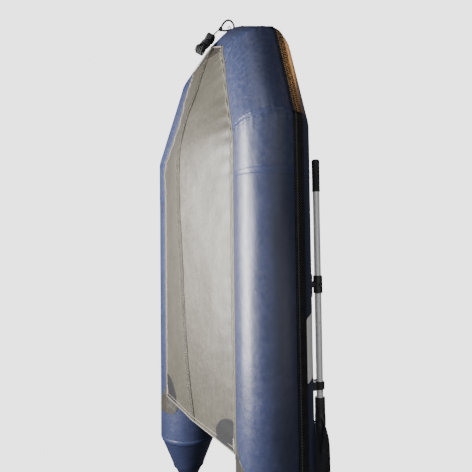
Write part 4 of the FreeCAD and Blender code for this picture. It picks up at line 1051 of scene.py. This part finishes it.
def air_floor():
    """The drop-stitch floor: a slab with rounded rims and a glued side tape."""
    outline = np.array(DECK_OUTLINE)
    start, stop = outline[0, 1], outline[-1, 1]
    rim = DECK_ROUNDING * (1 - np.cos(np.linspace(0.08, 1, 8) * math.pi / 2))
    stations = np.r_[start + rim, np.linspace(start + 0.03, stop - 0.03, 130), (stop - rim)[::-1]]
    loops = []
    for station in stations:
        edge = max(0.0, DECK_ROUNDING - min(station - start, stop - station))
        inset = DECK_ROUNDING - math.sqrt(max(DECK_ROUNDING**2 - edge**2, 0.0))
        half_width = float(np.interp(station, outline[:, 1], outline[:, 0]))
        section = deck_section(half_width, inset)
        loops.append(together(section[:, 0], TRANSOM + station, section[:, 1]))
    ends = [np.repeat(loop.mean(axis=0, keepdims=True), len(loop), axis=0) for loop in (loops[0], loops[-1])]
    points = np.array([ends[0]] + loops + [ends[1]])
    top = points[..., 2] > DECK_HIGH.z - 0.001
    points[..., 2] -= np.where(top, 0.0009 - 0.0009 * ripple(points[..., 0], points[..., 1], 7.0, 1.0), 0)
    around = np.concatenate([points, points[:, :1]], axis=1)
    across = np.cumsum(np.linalg.norm(np.diff(around[60], axis=0, prepend=around[60, :1]), axis=1))
    where = together(across[None, :], around[:, :1, 1])
    thing = grid_mesh("air_floor_skin", points, where, "floor", closed=True)
    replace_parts(thing, "air_deck")
    side = outline + [0, TRANSOM]
    side = smooth_line(np.concatenate([side, side[::-1] * [-1, 1]]), 220)
    middle = (DECK_LOW.z + DECK_HIGH.z) / 2
    band_line = np.column_stack([side, np.full(len(side), middle)])
    bead("air_floor_side_tape", band_line, 0.0140, "grey_tape", sides=12)


def keel_bladder():
    """The inflatable keel under the floor: a tube that fills the V, gathered where it is welded."""
    station = KEEL[:, 1] - TRANSOM
    rows = np.flatnonzero((station > 0.262) & (station < 1.888))
    slope = np.arctan2(SEAM[rows, 2] - KEEL[rows, 2], SEAM[rows, 0])
    room = DECK_LOW.z - 0.002 - (KEEL[rows, 2] + 0.0035)
    radius = room / (1 + 1 / np.cos(slope)) - 0.0015
    ending = np.sqrt(np.clip(np.minimum(station[rows] - 0.262, 1.888 - station[rows]) / 0.03, 0, 1))
    level = DECK_LOW.z - 0.0035 - radius
    radius = np.maximum(radius * ending, 0.0003)[:, None]
    turn = np.linspace(0, 2 * math.pi, 65)
    gathers = 1 - 0.035 * (0.5 + 0.5 * np.cos(26 * turn))[None, :] * np.exp(-4 * ending**2)[:, None]
    gathered = radius * gathers
    points = together(gathered * np.sin(turn), KEEL[rows, 1:2], level[:, None] + gathered * np.cos(turn))
    where = together(turn[None, :] * 0.06, KEEL[rows, 1:2])
    thing = grid_mesh("keel_tube_skin", points[:, :-1], where, "grey", closed=True)
    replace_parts(thing, "keel_tube")


# --- Oars ---

BLADE_SLOPE = math.radians(9.7)  # the stowed blade's outboard edge is this much lower


def oar_axis(side_name):
    low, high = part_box(side_name + "_oar_upper_shaft")
    return (low.x + high.x) / 2, (low.z + high.z) / 2


def oar_grip(side_name):
    """The ribbed rubber grip with its domed end."""
    x, z = oar_axis(side_name)
    low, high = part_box(side_name + "_oar_grip")
    length, radius = high.y - low.y, (high.x - low.x) / 2
    shaft = (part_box(side_name + "_oar_upper_shaft")[1].x - x) + 0.0001
    profile = [(shaft, 0.0), (radius - 0.002, 0.0), (radius, 0.002), (radius, 0.012)]
    rib, ribs_end = 0.0062, length - 0.030
    at = 0.014
    while at + rib < ribs_end:
        profile += [
            (radius - 0.0002, at), (radius - 0.0016, at + 0.0009), (radius - 0.0016, at + 0.0022),
            (radius - 0.0002, at + 0.0031),
        ]
        at += rib
    dome = 0.011
    profile += [(radius, at), (radius, length - dome)]
    for turn in np.linspace(0.1, 1, 9) * math.pi / 2:
        profile.append((radius - dome * (1 - math.cos(turn)), length - dome + dome * math.sin(turn)))
    flat = profile[-1][0]
    profile += [(flat * 0.6, length), (0.0005, length)]
    place = Matrix.Translation((x, low.y, z)) @ Matrix.Rotation(-math.pi / 2, 4, "X")
    grip = lathe(f"{side_name}_oar_grip_rubber", profile, place, "black_rubber", f"{side_name}_oar", sides=56)
    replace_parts(grip, f"{side_name}_oar_grip")


def oar_blade(side_name, side):
    """The blade: a round neck that flattens into a plate with a rim, a spine and two short ribs."""
    x, z = oar_axis(side_name)
    low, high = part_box(side_name + "_oar_blade")
    neck, neck_length = 0.0270, 0.140
    total = high.y - low.y
    outboard = np.array([side * math.cos(BLADE_SLOPE), 0.0, -math.sin(BLADE_SLOPE)])
    upward = np.array([side * math.sin(BLADE_SLOPE), 0.0, math.cos(BLADE_SLOPE)])
    half = 0.088
    outline = np.array([  # from the neck's end, then half the width there
        (0.000, neck), (0.075, neck), (0.088, 0.0295), (0.125, 0.043), (0.150, 0.062), (0.180, 0.0785),
        (0.215, 0.0865), (0.260, half), (0.340, half), (total - 0.060, half), (total - 0.025, 0.080),
        (total - 0.010, 0.066), (total - 0.002, 0.046), (total, 0.030),
    ])
    rounded_end = total - 0.03 * (1 - np.sin(np.linspace(0.1, 1, 14) * math.pi / 2))
    steps = np.r_[np.linspace(0, total - 0.03, 110), rounded_end]
    width = np.interp(steps, outline[:, 0], outline[:, 1])
    flatness = np.clip((steps - 0.080) / 0.055, 0, 1)
    flatness = (flatness**2 * (3 - 2 * flatness))[:, None]
    turn = np.linspace(0, 2 * math.pi, 97)
    beside = width[:, None] * np.cos(turn)[None, :]
    round_up = neck * np.sin(turn)[None, :] + 0 * beside
    spine = neck * np.clip(1 - (steps - neck_length) / 0.19, 0.0, 1)[:, None]
    share = np.abs(np.cos(turn))[None, :]
    plate = 0.0033 + 0.0012 * np.exp(-(((share - 0.93) / 0.05) ** 2))
    plate = plate + spine * np.clip(1 - (beside / np.maximum(spine, 1e-4)) ** 2, 0, 1) ** 0.5 * 0.95
    for rib in (0.42, 0.68):
        fade = np.clip((steps - 0.21) / 0.03, 0, 1) * np.clip((total - 0.07 - steps) / 0.03, 0, 1)
        plate = plate + 0.0014 * np.exp(-(((share - rib) / 0.022) ** 2)) * fade[:, None]
    height = (1 - flatness) * round_up + flatness * plate * squared(np.sin(turn), 0.22)
    centre = np.array([x, high.y, z])
    points = centre + beside[..., None] * outboard + height[..., None] * upward
    points[..., 1] -= steps[:, None]
    around = np.cos(turn)[:, None] * outboard + np.sin(turn)[:, None] * upward
    end = np.repeat(points[-1:].mean(axis=1, keepdims=True), points.shape[1], axis=1)
    points = np.concatenate([(centre + 0.0182 * around)[None], points, end])
    beside, steps = (np.concatenate([rows[:1], rows, rows[-1:]]) for rows in (beside, steps))
    where = together(beside, steps[:, None])
    if side < 0:
        points, where = points[:, ::-1], where[:, ::-1]
    points, body = points[:, :-1], f"{side_name}_oar"
    blade = grid_mesh(f"{side_name}_blade", points, where, "black_plastic", closed=True, body=body)
    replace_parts(blade, f"{side_name}_oar_blade")


# --- Cords ---


def from_transom(points):
    """Turns points given in millimetres as (x, station, level) into the boat's frame."""
    return [Vector((x / 1000, TRANSOM + y / 1000, LEVEL + z / 1000)) for x, y, z in points]


STROP_ROUTE = from_transom([
    (-3, 2459, 214), (-4, 2456, 236), (-2, 2476, 274), (0, 2484, 302), (3, 2508, 316),
    (4, 2538, 302), (4, 2546, 278), (3, 2534, 252), (2, 2504, 228), (2, 2474, 213),
])
KNOT = from_transom([(0, 2465, 210)])[0]
PAINTER_ROUTE = from_transom([(-4, 2462, 204), (-9, 2443, 184), (-18, 2419, 163), (-30, 2391, 140)])
HANK_ENDS = from_transom([(-30, 2369, 122), (-30, 2279, 50)])


def rope_curve(name, points, radius, closed=False):
    data = bpy.data.curves.new(name, "CURVE")
    data.dimensions = "3D"
    data.bevel_depth = radius
    data.bevel_resolution = 4 if closed else 5
    data.resolution_u = 12 if closed else 6
    spline = data.splines.new("NURBS")
    spline.points.add(len(points) - 1)
    for point, spot in zip(spline.points, points):
        point.co = (*spot, 1)
    spline.order_u = 3
    spline.use_cyclic_u = closed
    spline.use_endpoint_u = not closed
    data.materials.append(MATERIALS["rope"])
    return new_object(name, data)


HANK_DEPTH = Vector((0.85, -0.33, 0.41))  # about square to the plane in which the turns lie side by side
HANK_PITCH = 0.0084  # from one turn to the next beside it, at the wraps
HANK_LEAN = 0.0021  # how far a turn drifts sideways from its place, so that it goes over into the next
HANK_FLARE = 5.0  # how quickly the turns spread away from the wraps
HANK_GRIP = 0.024  # half the length that the wraps hold together
# For each layer: how deep its runs are under the wraps, the radius of its folds, the way in which
# it leans, and the places of its turns.
HANK_LAYERS = [(0.0045, 0.0240, 1, (-2, -1, 0, 1, 2)), (0.0125, 0.0310, -1, (1.5, 0.5, -0.5, -1.5))]
# The lean's share at each point of a turn's two halves, first the half with the fold at the near end.
HANK_HALVES = [(-1, (-1.0, -0.7, -0.7, -0.7, -0.4, -0.2, 0.0)), (1, (0.2, 0.5, 0.5, 0.5, 0.7, 0.8, 0.9))]
WRAPS, WRAP_STEPS, WRAP_RADIUS = 4, 14, 0.0245


def hank_turns():
    """The painter's turns: loops in two layers, pinched in the middle by four wraps round them."""
    first, last = HANK_ENDS
    heading = (last - first).normalized()
    depth = (HANK_DEPTH - heading * HANK_DEPTH.dot(heading)).normalized()
    sideways = depth.cross(heading)
    middle = (first + last) / 2
    half_length = (last - first).length / 2 - 0.005
    points = []

    def add(along, deep, beside):
        points.append(middle + heading * along + depth * deep + sideways * beside)

    for waist, radius, lean, places in HANK_LAYERS:
        half = [(half_length, radius)]
        for turn in (math.pi / 4, 0, -math.pi / 4):
            half.append((half_length + radius * math.cos(turn), radius * math.sin(turn)))
        half += [(half_length, -radius), (HANK_GRIP, -waist), (-HANK_GRIP, -waist)]
        for place in places:
            for way, shares in HANK_HALVES:
                for (along, deep), share in zip(half, shares):
                    beside = place * HANK_PITCH + lean * HANK_LEAN * share
                    add(way * along, way * deep, beside * (1 + HANK_FLARE * abs(along)))
    points = points[5:-2]  # the rope comes straight into the first run and leaves the last one early
    add(0.040, -0.0265, -0.0168)
    for step in range(WRAPS * WRAP_STEPS + 1):
        done = step / WRAP_STEPS
        turn = 2 * math.pi * done - 0.5 * math.pi - 0.55
        along = 0.016 - 0.0080 * done + 0.015 * math.exp(-6 * done)
        add(along, 0.95 * WRAP_RADIUS * math.sin(turn), 1.05 * WRAP_RADIUS * math.cos(turn))
    return points


def rope_knot():
    """A round knot of three crossed turns."""
    points = []
    for turn in np.linspace(0, 2 * math.pi, 73)[:-1]:
        reach = 0.0075 + 0.0022 * math.cos(3 * turn)
        away = Vector((reach * math.sin(2 * turn), reach * math.cos(2 * turn), 0.0062 * math.sin(3 * turn)))
        points.append(KNOT + away)
    knot = rope_curve("strop_knot", points, 0.0052, closed=True)
    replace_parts(knot, "painter_knot")
    return knot


def cords():
    """The strop on the bow ring, the painter that hangs from it, and the knot between them."""
    strop = rope_curve("bow_rope_strop", STROP_ROUTE, 0.006)
    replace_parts(strop, "bow_strop")
    painter = rope_curve("painter_rope", PAINTER_ROUTE + hank_turns(), 0.004)
    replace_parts(painter, "painter_line", "painter_hank")
    return strop, painter, rope_knot()


# --- Stage ---


FLOOR_REACH = 30.0  # how far the floor goes each way


def add_floor():
    """A matt floor under the boat, which is clear when it is seen from below."""
    mesh = bpy.data.meshes.new("floor")
    corners = [(x * FLOOR_REACH, y * FLOOR_REACH, 0) for x, y in ((-1, -1), (1, -1), (1, 1), (-1, 1))]
    mesh.from_pydata(corners, [], [(0, 1, 2, 3)])
    s = Shader("floor_paint")
    below = s.add("NewGeometry").outputs["Backfacing"]
    clear = s.add("BsdfTransparent").outputs[0]
    mixed = s.add("MixShader")
    for socket, source in zip(mixed.inputs, (below, s.surface.outputs[0], clear)):
        s.put(socket, source)
    s.put(s.tree.nodes["Material Output"].inputs["Surface"], mixed.outputs[0])
    mesh.materials.append(s.finish(Base_Color=(0.86, 0.86, 0.85, 1), Roughness=0.8))
    floor = new_object("floor", mesh, None)
    for name in ("visible_diffuse", "visible_glossy", "visible_transmission", "visible_shadow"):
        setattr(floor, name, False)


def area_light(name, spot, target, size, power, colour=(1, 1, 1)):
    data = bpy.data.lights.new(name, "AREA")
    data.shape = "RECTANGLE"
    data.size, data.size_y = size
    data.energy = power
    data.color = colour
    light = bpy.data.objects.new(name, data)
    bpy.context.scene.collection.objects.link(light)
    light.visible_camera = False
    aim = (Vector(target) - Vector(spot)).normalized()
    across = Vector((0, 1, 0)).cross(-aim).normalized()
    turn = Matrix((across, (-aim).cross(across), -aim)).transposed()
    light.matrix_world = Matrix.Translation(spot) @ turn.to_4x4()


def lights():
    """Soft lights round the boat, most of them long and parallel to its tubes."""
    area_light("key_strip", (0.20, 0.20, -1.75), (-0.45, 0.1, 0.2), (0.64, 2.4), 335, (1.0, 0.975, 0.97))
    area_light("bottom_soft", (0.9, 0.1, -2.0), (0.0, 0.1, 0.1), (1.0, 1.0), 24, (1.0, 0.93, 0.82))
    area_light("camera_side", (-3.4, 0.1, -1.1), (-0.6, 0.0, 0.3), (2.6, 3.6), 27, (1.0, 0.98, 0.99))
    area_light("port_low", (-3.3, -0.6, 0.5), (-0.75, -0.2, 0.35), (0.9, 1.2), 6, (1.0, 0.98, 0.95))
    area_light("bow_front", (-1.0, 3.0, -1.2), (-0.3, 1.2, 0.3), (1.4, 1.4), 18, (0.92, 0.94, 1.0))
    area_light("bow_warm", (-0.30, 2.10, 1.55), (-0.62, 1.0, 0.38), (0.5, 0.5), 5.5, (1.0, 0.50, 0.16))
    area_light("bow_side", (-2.7, 2.2, -0.1), (-0.4, 1.1, 0.3), (1.4, 1.4), 9, (0.92, 0.94, 1.0))
    area_light("top_soft", (2.6, -0.9, 2.9), (0.1, 0, 0.3), (2.0, 3.2), 300)
    studio_world()


def studio_world():
    """A faint cool light from all round, in front of a backdrop that only the camera sees."""
    world = bpy.data.worlds.new("studio")
    bpy.context.scene.world = world
    world.use_nodes = True
    tree = world.node_tree
    seen = tree.nodes.new("ShaderNodeLightPath")
    white = tree.nodes.new("ShaderNodeBackground")
    soft = tree.nodes["Background"]
    for background, colour, strength in ((white, (1, 1, 1, 1), 3.0), (soft, (0.86, 0.90, 1.0, 1), 0.09)):
        background.inputs["Color"].default_value = colour
        background.inputs["Strength"].default_value = strength
    mixed = tree.nodes.new("ShaderNodeMixShader")
    sources = (seen.outputs["Is Camera Ray"], soft.outputs[0], white.outputs[0])
    for source, socket in zip(sources, mixed.inputs):
        tree.links.new(source, socket)
    tree.links.new(mixed.outputs[0], tree.nodes["World Output"].inputs["Surface"])


# --- Everything ---

add_camera()
strop, painter, knot = cords()
skins()
seam_tapes()
cones()
strakes()
bottom()
labels()
handles()
air_floor()
keel_bladder()
for side, name in SIDES:
    oar_grip(name)
    oar_blade(name, side)

# The CAD nodes that stay: their material and how wide their edges are bevelled.
CAD_PAINT = {
    "transom_board": ("transom_paint", 0.003), "transom_plates": ("black_plastic", 0.0015),
    "transom_holders": ("black_rubber", 0.002), "transom_eyes": ("steel", 0.0008),
    "drain_socket": ("black_plastic", 0.0008), "drain_plug": ("black_rubber", 0.001),
    "thwart_board": ("seat_paint", 0.004), "thwart_shoes": ("black_plastic", 0.0012),
    "thwart_rails": ("grey_plastic", 0.0008), "rowlock_bases": ("black_plastic", 0.0015),
    "oar_rests": ("black_plastic", 0.002), "valve_bodies": ("black_plastic", 0.0006),
    "bow_ring_pad": ("black_rubber", 0.0015), "bow_ring": ("steel", 0), "chamber_baffles": ("navy", 0),
}
for side in ("starboard", "port"):
    CAD_PAINT[f"{side}_oar_upper_shaft"] = ("aluminium", 0)
    CAD_PAINT[f"{side}_oar_lower_shaft"] = ("aluminium", 0)
    CAD_PAINT[f"{side}_oar_ring"] = ("black_rubber", 0.001)
    CAD_PAINT[f"{side}_oar_button"] = ("steel", 0.0004)
    CAD_PAINT[f"{side}_oar_collar"] = ("black_plastic", 0.0012)
for valve in ("starboard", "port", "bow", "deck"):
    CAD_PAINT[f"{valve}_valve_cap"] = ("grey_plastic", 0.0008)
    CAD_PAINT[f"{valve}_valve_plunger"] = ("grey_plastic", 0.0004)
for name, (material, bevel) in CAD_PAINT.items():
    paint(NODES[name], material)
    if bevel:
        rounding = NODES[name].modifiers.new("edges", "BEVEL")
        rounding.width = bevel
        rounding.segments = 2
        rounding.limit_method = "ANGLE"
        rounding.angle_limit = math.radians(50)

add_floor()
lights()
